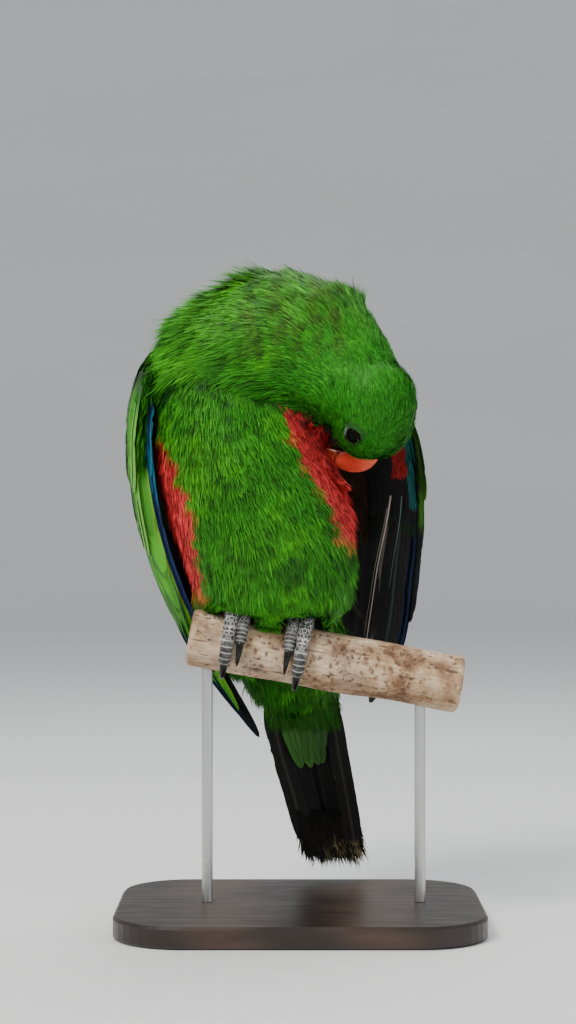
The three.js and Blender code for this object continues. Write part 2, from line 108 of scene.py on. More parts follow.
def with_modifier(made, kind, **settings):
    """Adds a modifier, makes its result the object's mesh and drops it."""
    modifier = made.modifiers.new(kind, kind)
    for key, value in settings.items():
        setattr(modifier, key, value)
    graph = bpy.context.evaluated_depsgraph_get()
    result = bpy.data.meshes.new_from_object(made.evaluated_get(graph))
    made.modifiers.remove(modifier)
    made.data = result
    return made


def blend(a, b, k):
    """Colour a going over to colour b by the share k at each point."""
    return a * (1 - k[..., None]) + b * k[..., None]


def read(items, key, width, kind=np.float32):
    """One row of numbers for each vertex, triangle or corner of a mesh."""
    values = np.empty(len(items) * width, kind)
    items.foreach_get(key, values)
    return values.reshape(-1, width)


def points_of(mesh):
    return read(mesh.vertices, "co", 3).astype(float)


def normals_of(mesh):
    return read(mesh.vertices, "normal", 3).astype(float)


def tube_faces(rings, around, wrap=False):
    """The quads of a tube's points, ring by ring; a wrapped one joins its last ring to its first."""
    i, j = np.meshgrid(np.arange(rings), np.arange(around), indexing="ij")
    k = (j + 1) % around
    n = (i + 1) % rings if wrap else i + 1
    return np.stack([i * around + j, i * around + k, n * around + k, n * around + j], -1).reshape(-1, 4)


def wobble(p, size, seed=0):
    """Smooth noise between about -1 and 1 from a few crossed waves, for tone and lie."""
    draw = np.random.default_rng(seed)
    total = 0
    for _ in range(6):
        way = unit(draw.normal(size=3)) * (2 * math.pi / size) * draw.uniform(0.6, 1.6)
        total = total + np.sin(p @ way + draw.uniform(0, 6.28))
    return total / 3.5


# Materials are written as one tree each: `node` makes a shader node, sets its constants by name and
# links whatever input is given another node's socket.
def new_material(name):
    material = bpy.data.materials.new(name)
    material.use_nodes = True
    tree = material.node_tree
    tree.nodes.clear()
    return material, tree


def link_or_set(tree, socket, value):
    if isinstance(value, bpy.types.NodeSocket):
        tree.links.new(value, socket)
    elif hasattr(socket.default_value, "__len__") and len(socket.default_value) == 4 and len(value) == 3:
        socket.default_value = (*value, 1)
    else:
        socket.default_value = value


def node(tree, kind, inputs=None, **settings):
    made = tree.nodes.new(kind)
    for key, value in settings.items():
        setattr(made, key, value)
    for key, value in (inputs or {}).items():
        link_or_set(tree, made.inputs[key], value)
    return made


def math_node(tree, operation, a, b=0.0):
    return node(tree, "ShaderNodeMath", {0: a, 1: b}, operation=operation).outputs[0]


def times(tree, a, b):
    return math_node(tree, "MULTIPLY", a, b)


def mix_colour(tree, factor, a, b, blend="MIX"):
    made = node(tree, "ShaderNodeMix", {0: factor, 6: a, 7: b}, data_type="RGBA", blend_type=blend)
    return made.outputs[2]


def object_place(tree):
    return node(tree, "ShaderNodeTexCoord").outputs["Object"]


def stored(tree, name):
    """A colour that the mesh carries at its points."""
    return node(tree, "ShaderNodeAttribute", attribute_name=name).outputs[0]


def noise(tree, vector, scale, detail, **more):
    made = node(tree, "ShaderNodeTexNoise", {"Vector": vector, "Scale": scale, "Detail": detail, **more})
    return made.outputs[0]


def stretched(tree, vector, scale):
    return node(tree, "ShaderNodeMapping", {"Vector": vector, "Scale": scale}).outputs[0]


def relief(tree, height, strength, distance):
    made = node(tree, "ShaderNodeBump", {"Height": height, "Strength": strength, "Distance": distance})
    return made.outputs[0]


def ramp(tree, factor, stops):
    made = tree.nodes.new("ShaderNodeValToRGB")
    tree.links.new(factor, made.inputs[0])
    elements = made.color_ramp.elements
    while len(elements) < len(stops):
        elements.new(0.5)
    for element, (place, colour) in zip(elements, stops):
        element.position = place
        element.color = (*colour, 1) if hasattr(colour, "__len__") else (colour, colour, colour, 1)
    return made.outputs[0]


def finish_material(tree, **inputs):
    """The material's own Principled shader and its output."""
    shader = node(tree, "ShaderNodeBsdfPrincipled", {k.replace("_", " "): v for k, v in inputs.items()})
    node(tree, "ShaderNodeOutputMaterial", {"Surface": shader.outputs[0]})
    return shader


# camera, light and floor:
# The photograph's own view: level, at the height of the belly, from 1.2 m in front.
camera = bpy.data.objects.new("camera", bpy.data.cameras.new("camera"))
camera.location = (-0.0066, -1.2, 0.2123 + LIFT)
camera.rotation_euler = (math.pi / 2, 0, 0)
camera.data.lens = 76.7
camera.data.sensor_width = 36
scene.collection.objects.link(camera)
scene.camera = camera


def lamp(name, place, aim, size, power, colour=(1, 1, 1)):
    light = bpy.data.lights.new(name, "AREA")
    light.size = size
    light.energy = power
    light.color = colour
    made = bpy.data.objects.new(name, light)
    made.location = place
    made.rotation_euler = (Vector(aim) - Vector(place)).to_track_quat("-Z", "Y").to_euler()
    scene.collection.objects.link(made)


lamp("key_light", (-0.8, -1.0, 1.5), (0, 0, 0.22), 0.6, 34, (1, 0.98, 0.95))
lamp("fill_light", (1.3, -1.0, 0.7), (0, 0, 0.2), 1.2, 8, (0.93, 0.97, 1))
lamp("top_light", (0.2, 0.6, 1.5), (0, 0, 0.28), 0.8, 12, (1, 1, 1))
world = bpy.data.worlds.new("studio")
world.use_nodes = True
world.node_tree.nodes["Background"].inputs[0].default_value = (0.86, 0.9, 0.95, 1)
world.node_tree.nodes["Background"].inputs[1].default_value = 0.56
scene.world = world

# The floor is round and curves up into a low wall on every side.
profile = [(0.8, 0.0), (2.0, 0.0), (3.2, 0.0)]
profile += [(3.2 + math.sin(a), 1.0 - math.cos(a)) for a in np.linspace(0.1, math.pi / 2, 14)]
profile += [(4.2, 1.9)]
turns = np.linspace(0, 2 * math.pi, 96, endpoint=False)
floor_points = [(0, 0, 0)] + [(r * math.cos(t), r * math.sin(t), z) for r, z in profile for t in turns]
floor_faces = [(0, 1 + k, 1 + (k + 1) % 96, -1) for k in range(96)]
for ring in range(len(profile) - 1):
    inner, outer = 1 + 96 * ring, 97 + 96 * ring
    floor_faces += [(inner + k, outer + k, outer + (k + 1) % 96, inner + (k + 1) % 96) for k in range(96)]
floor = mesh_of("floor", np.array(floor_points), np.array(floor_faces))
floor_material, tree = new_material("floor_paint")
grain = node(tree, "ShaderNodeTexNoise", {"Scale": 9.0, "Detail": 4.0})
finish_material(
    tree,
    Base_Color=ramp(tree, grain.outputs[0], [(0.3, (0.78, 0.78, 0.77)), (0.7, (0.82, 0.82, 0.81))]),
    Roughness=0.85,
)
floor.data.materials.append(floor_material)


# stand and perch:
# The base is dark wood, the rods brushed steel, and the branch peeled, blotched wood with a long
# grain; its finer mesh stands in for the CAD node.
wood, tree = new_material("base_wood")
place = object_place(tree)
along = stretched(tree, place, (3, 26, 26))
fibre = noise(tree, along, 9.0, 8.0, Distortion=0.6)
rings = node(tree, "ShaderNodeTexWave", {"Vector": along, "Scale": 1.2, "Distortion": 3.0, "Detail": 3.0})
tone = times(tree, fibre, rings.outputs[1])
bump = relief(tree, fibre, 0.12, 0.0004)
finish_material(
    tree,
    Base_Color=ramp(tree, tone, [(0.1, (0.018, 0.010, 0.007)), (0.6, (0.06, 0.032, 0.02))]),
    Roughness=ramp(tree, fibre, [(0.3, 0.3), (0.7, 0.46)]),
    Normal=bump,
)
steel, tree = new_material("rod_steel")
place = object_place(tree)
around = stretched(tree, place, (40, 40, 2500))
brush = noise(tree, around, 1.0, 3.0)
bump = relief(tree, brush, 0.08, 0.0002)
finish_material(
    tree,
    Base_Color=(0.56, 0.56, 0.55),
    Metallic=1.0,
    Roughness=ramp(tree, brush, [(0.3, 0.26), (0.7, 0.42)]),
    Normal=bump,
)
for name, material in (("stand_base", wood), ("stand_rod_right", steel), ("stand_rod_left", steel)):
    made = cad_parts[name]
    made.data.materials.clear()
    made.data.materials.append(material)

PERCH_RADIUS = 0.0157
SLOPE = 0.171
perch_along = np.array([math.cos(SLOPE), 0, -math.sin(SLOPE)])
perch_up = np.array([math.sin(SLOPE), 0, math.cos(SLOPE)])
perch_front = np.array([0, -1.0, 0])


def perch_at(x):
    return mm(x, 0, 132.6 - x * math.tan(SLOPE))


def perch_piece():
    rings, around = 200, 110
    length = 0.1485 / math.cos(SLOPE)
    share = np.linspace(0, 1, rings + 1)[:, None]
    turn = np.linspace(0, 2 * math.pi, around, endpoint=False)[None, :]
    base = perch_at(-60.5) + share[..., None] * perch_along * length
    swell = (
        0.35 * np.sin(9 * share + 2 * turn) + 0.25 * np.sin(17 * share + turn) + 0.3 * np.cos(3 * turn + 1)
    )
    around_p = np.cos(turn)[..., None] * perch_front + np.sin(turn)[..., None] * perch_up
    spots = base + around_p * PERCH_RADIUS
    # Long shallow furrows, small pits, a few knots and chipped ends.
    furrow = wobble(spots * [0.12, 1, 1], 0.0035, 3) * 0.16 + wobble(spots * [0.2, 1, 1], 0.009, 4) * 0.22
    pits = -0.3 * np.clip(wobble(spots, 0.0045, 5) - 0.75, 0, 1) * 2
    knots = sum(
        a * np.exp(-(((share * length * 1000 - s) / 5) ** 2) - ((np.cos(turn - t) - 1) / 0.05) ** 2)
        for s, t, a in ((22, 0.2, 0.5), (70, 0.9, -0.5), (104, 5.6, 0.7), (128, 0.4, -0.6))
    )
    radius = PERCH_RADIUS + (swell + furrow + pits + knots) / 1000
    edge = np.minimum(share, 1 - share) * length * 1000
    radius = radius - 0.0012 * np.exp(-((edge / 0.9) ** 2))
    points = (base + around_p * radius[..., None]).reshape(-1, 3)
    faces = np.roll(tube_faces(rings, around)[:, ::-1], 1, axis=1)
    # Cut ends, in rings so that the year rings and a slight hollow can show.
    for end, row in ((0, 0), (1, rings)):
        previous = np.arange(around) + row * around
        centre = perch_at(-60.5) + perch_along * length * end
        for inner in (0.93, 0.7, 0.45, 0.2):
            new = centre + (points[row * around : (row + 1) * around] - centre) * inner
            new = new + perch_along * (0.0003 if end else -0.0003)
            here = len(points) + np.arange(around)
            points = np.vstack([points, new])
            ring = np.stack([previous, np.roll(previous, -1), np.roll(here, -1), here], -1)
            faces = np.vstack([faces, ring if not end else ring[:, ::-1]])
            previous = here
        points = np.vstack([points, centre + perch_along * (0.0003 if end else -0.0003)])
        cap = np.stack(
            [previous, np.roll(previous, -1), np.full(around, len(points) - 1), np.full(around, -1)], -1
        )
        if end:
            cap[:, [0, 1]] = cap[:, [1, 0]]
        faces = np.vstack([faces, cap])
    return mesh_of("branch", points, faces)


bark, tree = new_material("peeled_branch")
place = object_place(tree)
turned = node(tree, "ShaderNodeMapping", {"Vector": place, "Rotation": (0, -SLOPE, 0)}).outputs[0]
grain_place = stretched(tree, turned, (22, 210, 210))
fibre = noise(tree, grain_place, 3.0, 8.0, Roughness=0.7)
blotch = noise(tree, turned, 55.0, 6.0, Roughness=0.65)
pale = noise(tree, turned, 24.0, 3.0)
warp = node(tree, "ShaderNodeTexNoise", {"Vector": turned, "Scale": 150.0, "Detail": 4.0})
shift = node(tree, "ShaderNodeVectorMath", {"Vector": warp.outputs[1], "Scale": 0.011}, operation="SCALE")
bent = node(tree, "ShaderNodeVectorMath", {0: turned, 1: shift.outputs[0]}, operation="ADD").outputs[0]
specks = node(tree, "ShaderNodeTexVoronoi", {"Vector": bent, "Scale": 240.0, "Randomness": 1.0})
cracks_at = stretched(tree, turned, (45, 330, 330))
cracks = noise(tree, cracks_at, 1.0, 3.0)
tan = ramp(tree, blotch, [(0.36, (0.19, 0.09, 0.04)), (0.48, (0.52, 0.33, 0.18)), (0.62, (0.80, 0.61, 0.40))])
tan = mix_colour(tree, ramp(tree, pale, [(0.52, 0.0), (0.7, 0.45)]), tan, (0.90, 0.76, 0.58))
tan = mix_colour(tree, ramp(tree, fibre, [(0.38, 0.5), (0.6, 0.0)]), tan, (0.2, 0.11, 0.065))
dots = times(
    tree, ramp(tree, specks.outputs[0], [(0.1, 1.0), (0.3, 0.0)]),
    ramp(tree, blotch, [(0.42, 1.0), (0.55, 0.0)]),
)
tan = mix_colour(tree, dots, tan, (0.1, 0.05, 0.03))
rough = node(tree, "ShaderNodeTexVoronoi", {"Vector": bent, "Scale": 260.0, "Randomness": 1.0})
worn = noise(tree, turned, 38.0, 4.0)
flaking = ramp(tree, worn, [(0.46, 0.0), (0.54, 1.0)])
pits = times(tree, flaking, ramp(tree, rough.outputs[0], [(0.16, 1.0), (0.42, 0.0)]))
tan = mix_colour(tree, times(tree, pits, 0.85), tan, (0.10, 0.045, 0.022))
tan = mix_colour(tree, ramp(tree, cracks, [(0.3, 0.8), (0.36, 0.0)]), tan, (0.06, 0.035, 0.025))
height = math_node(tree, "SUBTRACT", fibre, times(tree, dots, 0.6))
height = math_node(tree, "SUBTRACT", height, pits)
bump = relief(tree, height, 0.6, 0.0007)
finish_material(tree, Base_Color=tan, Roughness=0.82, Normal=bump)
dress(perch_piece(), bark, "perch", slot="branch_wood")


# forms of the body:
# The same named sizes as the solids: a smooth line through stations, each with its reach sideways,
# to the front and to the back. The coat takes its lie from these lines.
class Spline:
    """A centripetal Catmull-Rom curve through the given points."""

    def __init__(self, points):
        p = np.asarray(points, float)
        self.p = np.vstack([2 * p[0] - p[1], p, 2 * p[-1] - p[-2]])

    def __call__(self, t):
        t = np.atleast_1d(np.asarray(t, float))
        n = len(self.p) - 3
        x = np.clip(t, 0, 1) * n
        i = np.minimum(x.astype(int), n - 1)
        w = (x - i)[:, None]
        p0, p1, p2, p3 = (self.p[i + k] for k in range(4))
        d0, d1, d2 = (
            np.maximum(np.sum((b - a) ** 2, -1, keepdims=True) ** 0.25, 1e-6)
            for a, b in ((p0, p1), (p1, p2), (p2, p3))
        )
        t1 = ((p1 - p0) / d0 - (p2 - p0) / (d0 + d1) + (p2 - p1) / d1) * d1
        t2 = ((p2 - p1) / d1 - (p3 - p1) / (d1 + d2) + (p3 - p2) / d2) * d1
        return p1 + t1 * w + (-3 * p1 + 3 * p2 - 2 * t1 - t2) * w**2 + (2 * p1 - 2 * p2 + t1 + t2) * w**3


TORSO = [
    (-3, 51, 98), (-4, 47, 114), (-7, 42, 133), (-15, 31, 151), (-15, 17, 174), (-19, 9, 204),
    (-29, 5, 233), (-36, 3, 261), (-38, 2, 289), (-34, 2, 313), (-28, 1, 333),
]
NECK = [
    (-62, 2, 288), (-43, -3, 297), (-19, -8, 303), (3, -13, 302), (19, -19, 292), (30, -25, 279.5),
    (37.5, -28, 265),
]
torso_line = Spline([mm(*p) for p in TORSO])
neck_line = Spline([mm(*p) for p in NECK])

HEAD_CENTRE = mm(37.4, -30, 267.3)
HEAD_REACH = 0.027
forward = unit([-0.057, 0.518, -0.853])
rightward = unit(np.cross(forward, [0.82, -0.463, -0.336]))
crownward = np.cross(rightward, forward)


def in_head(f, u, r=0.0):
    """A point of the head from its millimetres forward, towards the crown and to the right."""
    parts = zip((f, u, r), (forward, crownward, rightward))
    return HEAD_CENTRE + sum(np.multiply.outer(size, way) for size, way in parts) / 1000


def from_head(p):
    return np.linalg.norm(p - HEAD_CENTRE, axis=1)


EYE_AT = {"right": in_head(5.8, 3.6, 18.6), "left": in_head(5.8, 3.6, -18.6)}


# skin:
# One smooth skin lies inside the torso, neck and head by the depth of the coat. The feathers are
# rooted in it, and it carries the same markings as they do, at 0.35 of their brightness: the darker
# feather bases, and painted shade under the coat.
def grown_copy(names, grow):
    points, faces, base = [], [], 0
    for name in names:
        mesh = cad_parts[name].data
        p = points_of(mesh) + normals_of(mesh) * grow
        mesh.calc_loop_triangles()
        points.append(p)
        faces.append(read(mesh.loop_triangles, "vertices", 3, np.int32) + base)
        base += len(p)
    return np.vstack(points), np.vstack(faces)


skin = mesh_of("skin", *grown_copy(("torso", "neck", "head"), 0.0005))
skin = with_modifier(skin, "REMESH", mode="VOXEL", voxel_size=0.0017)
skin = with_modifier(skin, "SMOOTH", factor=0.6, iterations=5)
points = points_of(skin.data)
head_share = smoothstep(0.034, 0.024, from_head(points))
face_share = head_share * smoothstep(0.002, 0.016, (points - HEAD_CENTRE) @ forward)
depth = 0.0034 - 0.0012 * head_share - 0.0008 * face_share
points = points - normals_of(skin.data) * depth[:, None]
skin.data.vertices.foreach_set("co", points.astype(np.float32).ravel())
skin.data.update()
bpy.context.view_layer.objects.active = skin
skin.select_set(True)
bpy.ops.object.mode_set(mode="EDIT")
bpy.ops.mesh.select_all(action="SELECT")
bpy.ops.uv.smart_project(angle_limit=math.radians(66), island_margin=0.004)
bpy.ops.object.mode_set(mode="OBJECT")
skin.data.uv_layers[0].name = "OFBake"


# Which way the feathers lie at each point: back over the head, along the neck to the shoulder, and
# down the body to the tail.
CHUNK = 60000


def nearest_on(line, p, samples=60):
    t = np.linspace(0.01, 0.99, samples)
    spots = line(t)
    best = np.argmin(np.sum((p[:, None, :] - spots[None]) ** 2, -1), axis=1)
    tangents = unit(line(t + 0.01) - line(t - 0.01))
    return t[best], spots[best], tangents[best]


# The plumage's colours, from where a feather grows. Places on the front come from the view: across
# is to the bird's left and up is height, both in millimetres.
NAPE_TUFT = mm(33, -14, 322)
GREEN = np.array([0.044, 0.31, 0.010])
BRIGHT = np.array([0.085, 0.50, 0.008])
DEEP = np.array([0.010, 0.075, 0.008])
OLIVE = np.array([0.085, 0.085, 0.018])
RED = np.array([0.86, 0.060, 0.060])
ORANGE = np.array([0.75, 0.28, 0.03])
HEAD_GREEN = np.array([0.038, 0.31, 0.013])
HOLLOW_SHADE = np.array([0.020, 0.010, 0.007])


def neck_edge(p):
    """Below zero on the neck and above it on the body, in metres from the crease between them."""
    out = np.empty(len(p))
    for a in range(0, len(p), CHUNK):
        q = p[a : a + CHUNK]
        along, spot, _ = nearest_on(neck_line, q)
        down, body, _ = nearest_on(torso_line, q)
        neck_girth = np.interp(along, np.linspace(0, 1, 7), [24, 33, 36, 36, 31, 27, 24]) / 1000
        body_girth = (
            np.interp(down, np.linspace(0, 1, 11), [9, 18, 25, 34, 44, 49, 49, 45, 39, 31, 21]) / 1000
        )
        on_neck = np.linalg.norm(q - spot, axis=1) / neck_girth
        out[a : a + CHUNK] = 0.035 * (on_neck - np.linalg.norm(q - body, axis=1) / body_girth)
    return out


def lie_at(p, normal):
    out = np.empty_like(p)
    for a in range(0, len(p), CHUNK):
        q = p[a : a + CHUNK]
        torso_way = nearest_on(torso_line, q)[2]
        neck_way = nearest_on(neck_line, q)[2]
        neck_w = smoothstep(0.003, -0.003, neck_edge(q))
        neck_w = np.maximum(neck_w, smoothstep(0.306, 0.322, q[:, 2] - LIFT))
        head_w = smoothstep(0.030, 0.022, from_head(q))
        way = -torso_way * (1 - neck_w)[:, None] - neck_way * neck_w[:, None]
        # On the head they lie back from the bill.
        way = way * (1 - head_w)[:, None] - forward * head_w[:, None]
        out[a : a + CHUNK] = way
    out = out + 0.14 * np.stack([wobble(p, 0.03, s) for s in (11, 12, 13)], -1)
    out = out + 0.17 * np.stack([wobble(p, 0.009, s) for s in (14, 15, 16)], -1)
    out = out - normal * np.sum(out * normal, -1, keepdims=True)
    return unit(out)


def neck_part(p):
    return (neck_edge(p) < 0) & (from_head(p) > HEAD_REACH)


def hollow(p):
    """The sunk place on the left of the breast that the bill reaches into."""
    away = p - in_head(29, -12)
    axes = np.stack([away @ forward / 0.019, away @ crownward / 0.019, away @ rightward / 0.014], -1)
    return smoothstep(1.14, 0.98, np.linalg.norm(axes, axis=1))


def flank_share(p):
    """How red a point is: the two flanks under the wings, ragged at the lower end."""
    across = p[:, 0] * 1000 + 2.2 * wobble(p, 0.009, 21) + 1.2 * wobble(p, 0.004, 22)
    # A feather's tip hangs about eight millimetres below its root.
    up = (p[:, 2] - LIFT) * 1000 - 8
    side = p[:, 1] * 1000
    z = [160, 176, 190, 210, 225, 241, 250, 256]
    right_edge = np.interp(up, z, [-50, -53, -57.5, -58, -63, -68, -73, -77])
    right = smoothstep(1.5, -1.5, across - right_edge) * smoothstep(158, 172, up) * smoothstep(268, 258, up)
    zl = [190, 197, 213, 228, 244, 260, 270]
    left_edge = np.interp(up, zl, [20, 16, 11, 1, -6, -11, -13])
    left = (
        smoothstep(-1.5, 1.5, across - left_edge) * smoothstep(187, 200, up + 0.3 * across - 6)
        * smoothstep(280, 270, up)
    )
    near = smoothstep(34, 22, side) * smoothstep(0.026, 0.031, from_head(p))
    near = near * (neck_edge(p) > 0)
    return np.maximum(right, left) * near


def plumage(p):
    """Colour, how red and how ruffled the feathers are, at each point."""
    up = (p[:, 2] - LIFT) * 1000
    across = p[:, 0] * 1000
    tone = wobble(p, 0.05, 31)[:, None]
    colour = GREEN * (1 + 0.12 * tone) + 0.02 * np.clip(tone, 0, 1) * [1, 1, 0]
    # The head and nape are purer green, the belly's lower edge and the back a little deeper.
    head = smoothstep(0.07, 0.028, from_head(p))
    colour = blend(colour, HEAD_GREEN, head)
    # The top edge is painted lighter and yellower: painted light from above.
    top = smoothstep(300, 330, up)[:, None] * smoothstep(0.05, 0.0, p[:, 1])[:, None]
    colour = colour * (1 - 0.25 * top) + 0.25 * top * np.array([0.12, 0.36, 0.05])
    # Olive-brown bases show where the neck's feathers part.
    parted = smoothstep(-0.5, 0.7, wobble(p, 0.010, 32)) * smoothstep(286, 303, up) * smoothstep(346, 334, up)
    parted = parted * smoothstep(-40, -12, across) * smoothstep(40, 20, across) * 0.62
    colour = blend(colour, OLIVE, parted)
    # Where the feathers ruffle and part the colour goes deeper: partly their darker bases, partly painted
    # shade between them.
    ruffle = smoothstep(0.3, 0.9, wobble(p, 0.022, 33)) * smoothstep(262, 240, up)
    calm = 1 - 0.75 * head
    gaps = smoothstep(0.15, 0.85, wobble(p, 0.0085, 34)) * 0.65 * calm
    # The neck's lower feathers shade the breast under them, and so does the branch the belly's end.
    edge = neck_edge(p)
    shade = smoothstep(0.0075, 0.002, edge) * (edge > 0) * smoothstep(0.01, -0.01, p[:, 1]) * 0.95
    shade = np.maximum(shade, smoothstep(140, 112, up) * 0.6)
    colour = blend(colour, DEEP, np.maximum(np.maximum(ruffle * 0.6, gaps), shade))
    colour = blend(colour, BRIGHT, smoothstep(0.2, 0.9, wobble(p, 0.013, 35)) * 0.6 * calm)
    red = flank_share(p)
    edge = np.clip(1 - np.abs(red - 0.45) / 0.45, 0, 1) * smoothstep(0.02, 0.3, red)
    colour = blend(colour, RED, red)
    colour = blend(colour, ORANGE, 0.55 * edge)
    # In the sunk hollow under the bill the colour goes over to near black: painted shade.
    return blend(colour, HOLLOW_SHADE, hollow(p)), red, ruffle


# The skin takes the plumage's colour at 0.35: painted shade under the coat, over the darker feather bases.
skin_colour, _, _ = plumage(points)
layer = skin.data.attributes.new("Plumage", "FLOAT_COLOR", "POINT")
layer.data.foreach_set(
    "color", np.hstack([skin_colour * 0.35, np.ones((len(points), 1))]).astype(np.float32).ravel()
)

down_material, tree = new_material("down_skin")
tint = stored(tree, "Plumage")
place = object_place(tree)
fluff = noise(tree, place, 900.0, 3.0)
bump = relief(tree, fluff, 0.5, 0.0006)
finish_material(
    tree,
    Base_Color=mix_colour(tree, 0.6, tint, ramp(tree, fluff, [(0.35, 0.25), (0.65, 1.0)]), "MULTIPLY"),
    Roughness=0.9,
    Normal=bump,
)
dress(skin, down_material, "torso", "neck", "head", slot="torso_plumage")


# coat of small feathers:
# Each small feather is a fan of narrow, bent blades from one root. Roots are spread evenly over the
# skin; length, lift and colour come from where the root lies.
def skin_roots(count, keep):
    """Even random roots on the skin: place, normal and place on the skin's unwrap."""
    mesh = skin.data
    mesh.calc_loop_triangles()
    tri = read(mesh.loop_triangles, "vertices", 3, np.int32)
    loops = read(mesh.loop_triangles, "loops", 3, np.int32)
    uv = read(mesh.uv_layers["OFBake"].uv, "vector", 2)
    p, q = points_of(mesh), normals_of(mesh)
    centre = p[tri].mean(1)
    area = np.linalg.norm(np.cross(p[tri[:, 1]] - p[tri[:, 0]], p[tri[:, 2]] - p[tri[:, 0]]), axis=1)
    weight = area * keep(centre)
    # Evenly stepped draws along the running total keep the spacing regular.
    total = np.cumsum(weight)
    at = (np.arange(count) + rng.uniform(0, 1, count)) * total[-1] / count
    pick = np.minimum(np.searchsorted(total, at), len(tri) - 1)
    a, b = rng.uniform(0, 1, (2, count))
    flip = a + b > 1
    a[flip], b[flip] = 1 - a[flip], 1 - b[flip]
    k = np.stack([1 - a - b, a, b], -1)[..., None]
    return (p[tri[pick]] * k).sum(1), unit((q[tri[pick]] * k).sum(1)), (uv[loops[pick]] * k).sum(1)


FAN = np.linspace(-1, 1, 6)
FACE_FAN = np.linspace(-1, 1, 5)
STEPS = np.array([0.0, 0.52, 1.0])
BLADE = np.array([0.7, 1.0, 0.0])


def fans(
    name, root, normal, lie, uv, length, spread, lift, colour, material, blades=FAN, blade_width=0.0003,
    soft=0.6, slot=None, mottle=0.2,
):
    """One mesh of fanned blades, with each blade's colour running from a dark root to a light tip: painted
    shade at the root and a painted sheen at the tip.
    """
    count, k = len(root), len(blades)
    side = np.cross(normal, lie)
    own = rng.normal(size=(count, k, 1, 1))
    off = (blades[None, :, None] + 0.18 * rng.normal(size=(count, k, 1)))[..., None]
    a = STEPS[None, None, :, None]
    reach = (length[:, None, None, None] * (1 - 0.16 * np.abs(off)) * (1 + 0.08 * own)) * a
    out = spread[:, None, None, None] * off * (0.12 + 0.88 * a**0.8) + 0.0004 * own * a
    rise = length[:, None, None, None] * (lift[:, None, None, None] * (1 + 0.25 * own) * a - 0.16 * a**2)
    rise = rise - 0.12 * spread[:, None, None, None] * np.abs(off) * a - 0.0004 * (1 - a)
    root_b, lie_b, side_b, normal_b = (v[:, None, None, :] for v in (root, lie, side, normal))
    centre = root_b + lie_b * reach + side_b * out + normal_b * rise
    wide = BLADE[None, None, :, None] * blade_width * (1 + 0.2 * own)
    tilt = unit(side_b + 0.35 * rng.normal(size=(count, k, 1, 1)) * normal_b)
    left = centre - tilt * wide
    right = centre + tilt * wide
    points = np.concatenate([left, right[:, :, :2]], axis=2)
    per = points.shape[2]
    points = points.reshape(-1, 3)
    start = (np.arange(count * k) * per)[:, None]
    quads = start + [0, 1, 4, 3]
    tris = np.hstack([start + [1, 2, 4], np.full((count * k, 1), -1)])
    along = np.concatenate([STEPS, STEPS[:2]])[None, :]
    blade_tone = (
        1 + 0.18 * rng.normal(size=(count * k, 1)) + mottle * np.repeat(rng.normal(size=count), k)[:, None]
    )
    # From about a tenth of the colour at the root to a little over full at the tip: painted shade among the
    # feathers, painted sheen on the tips.
    light = (0.12 + 1.0 * along) * np.clip(blade_tone, 0.4, 1.7)
    tint = np.repeat(colour, k, axis=0)[:, None, :] * light[..., None]
    across = np.concatenate([np.zeros(3), np.ones(2)])[None, :]
    fan_at = np.tile(blades, count)[:, None]
    patch = (
        np.repeat(uv, k, axis=0)[:, None, :]
        + 0.0015 * np.stack([fan_at * 0.8 + 0.2 * (across * 2 - 1), 2 * along - 1 + 0 * fan_at], -1)
    )
    lean = np.repeat(normal, k * per, axis=0) * soft
    blade_face = (
        unit(np.cross(np.repeat(lie, k, axis=0)[:, None], tilt.reshape(count * k, 1, 3)))
        + np.zeros((1, per, 1))
    )
    blade_face = blade_face.reshape(-1, 3)
    blade_face *= np.sign(np.sum(blade_face * np.repeat(normal, k * per, axis=0), -1, keepdims=True))
    made = mesh_of(
        name,
        points,
        np.concatenate([quads, tris]),
        layers=[("Plumage", tint.reshape(-1, 3))],
        uvs=[("OFBake", patch.reshape(-1, 2))],
        normals=unit(lean + (1 - soft) * blade_face),
    )
    return dress(made, material, slot=slot)


coat_material, tree = new_material("small_feathers")
tint = stored(tree, "Plumage")
place = object_place(tree)
tone = noise(tree, place, 420.0, 3.0)
colour = mix_colour(tree, 0.55, tint, ramp(tree, tone, [(0.3, 0.45), (0.7, 1.0)]), "MULTIPLY")
finish_material(
    tree,
    Base_Color=colour,
    Roughness=0.55,
    Specular_IOR_Level=0.16,
)


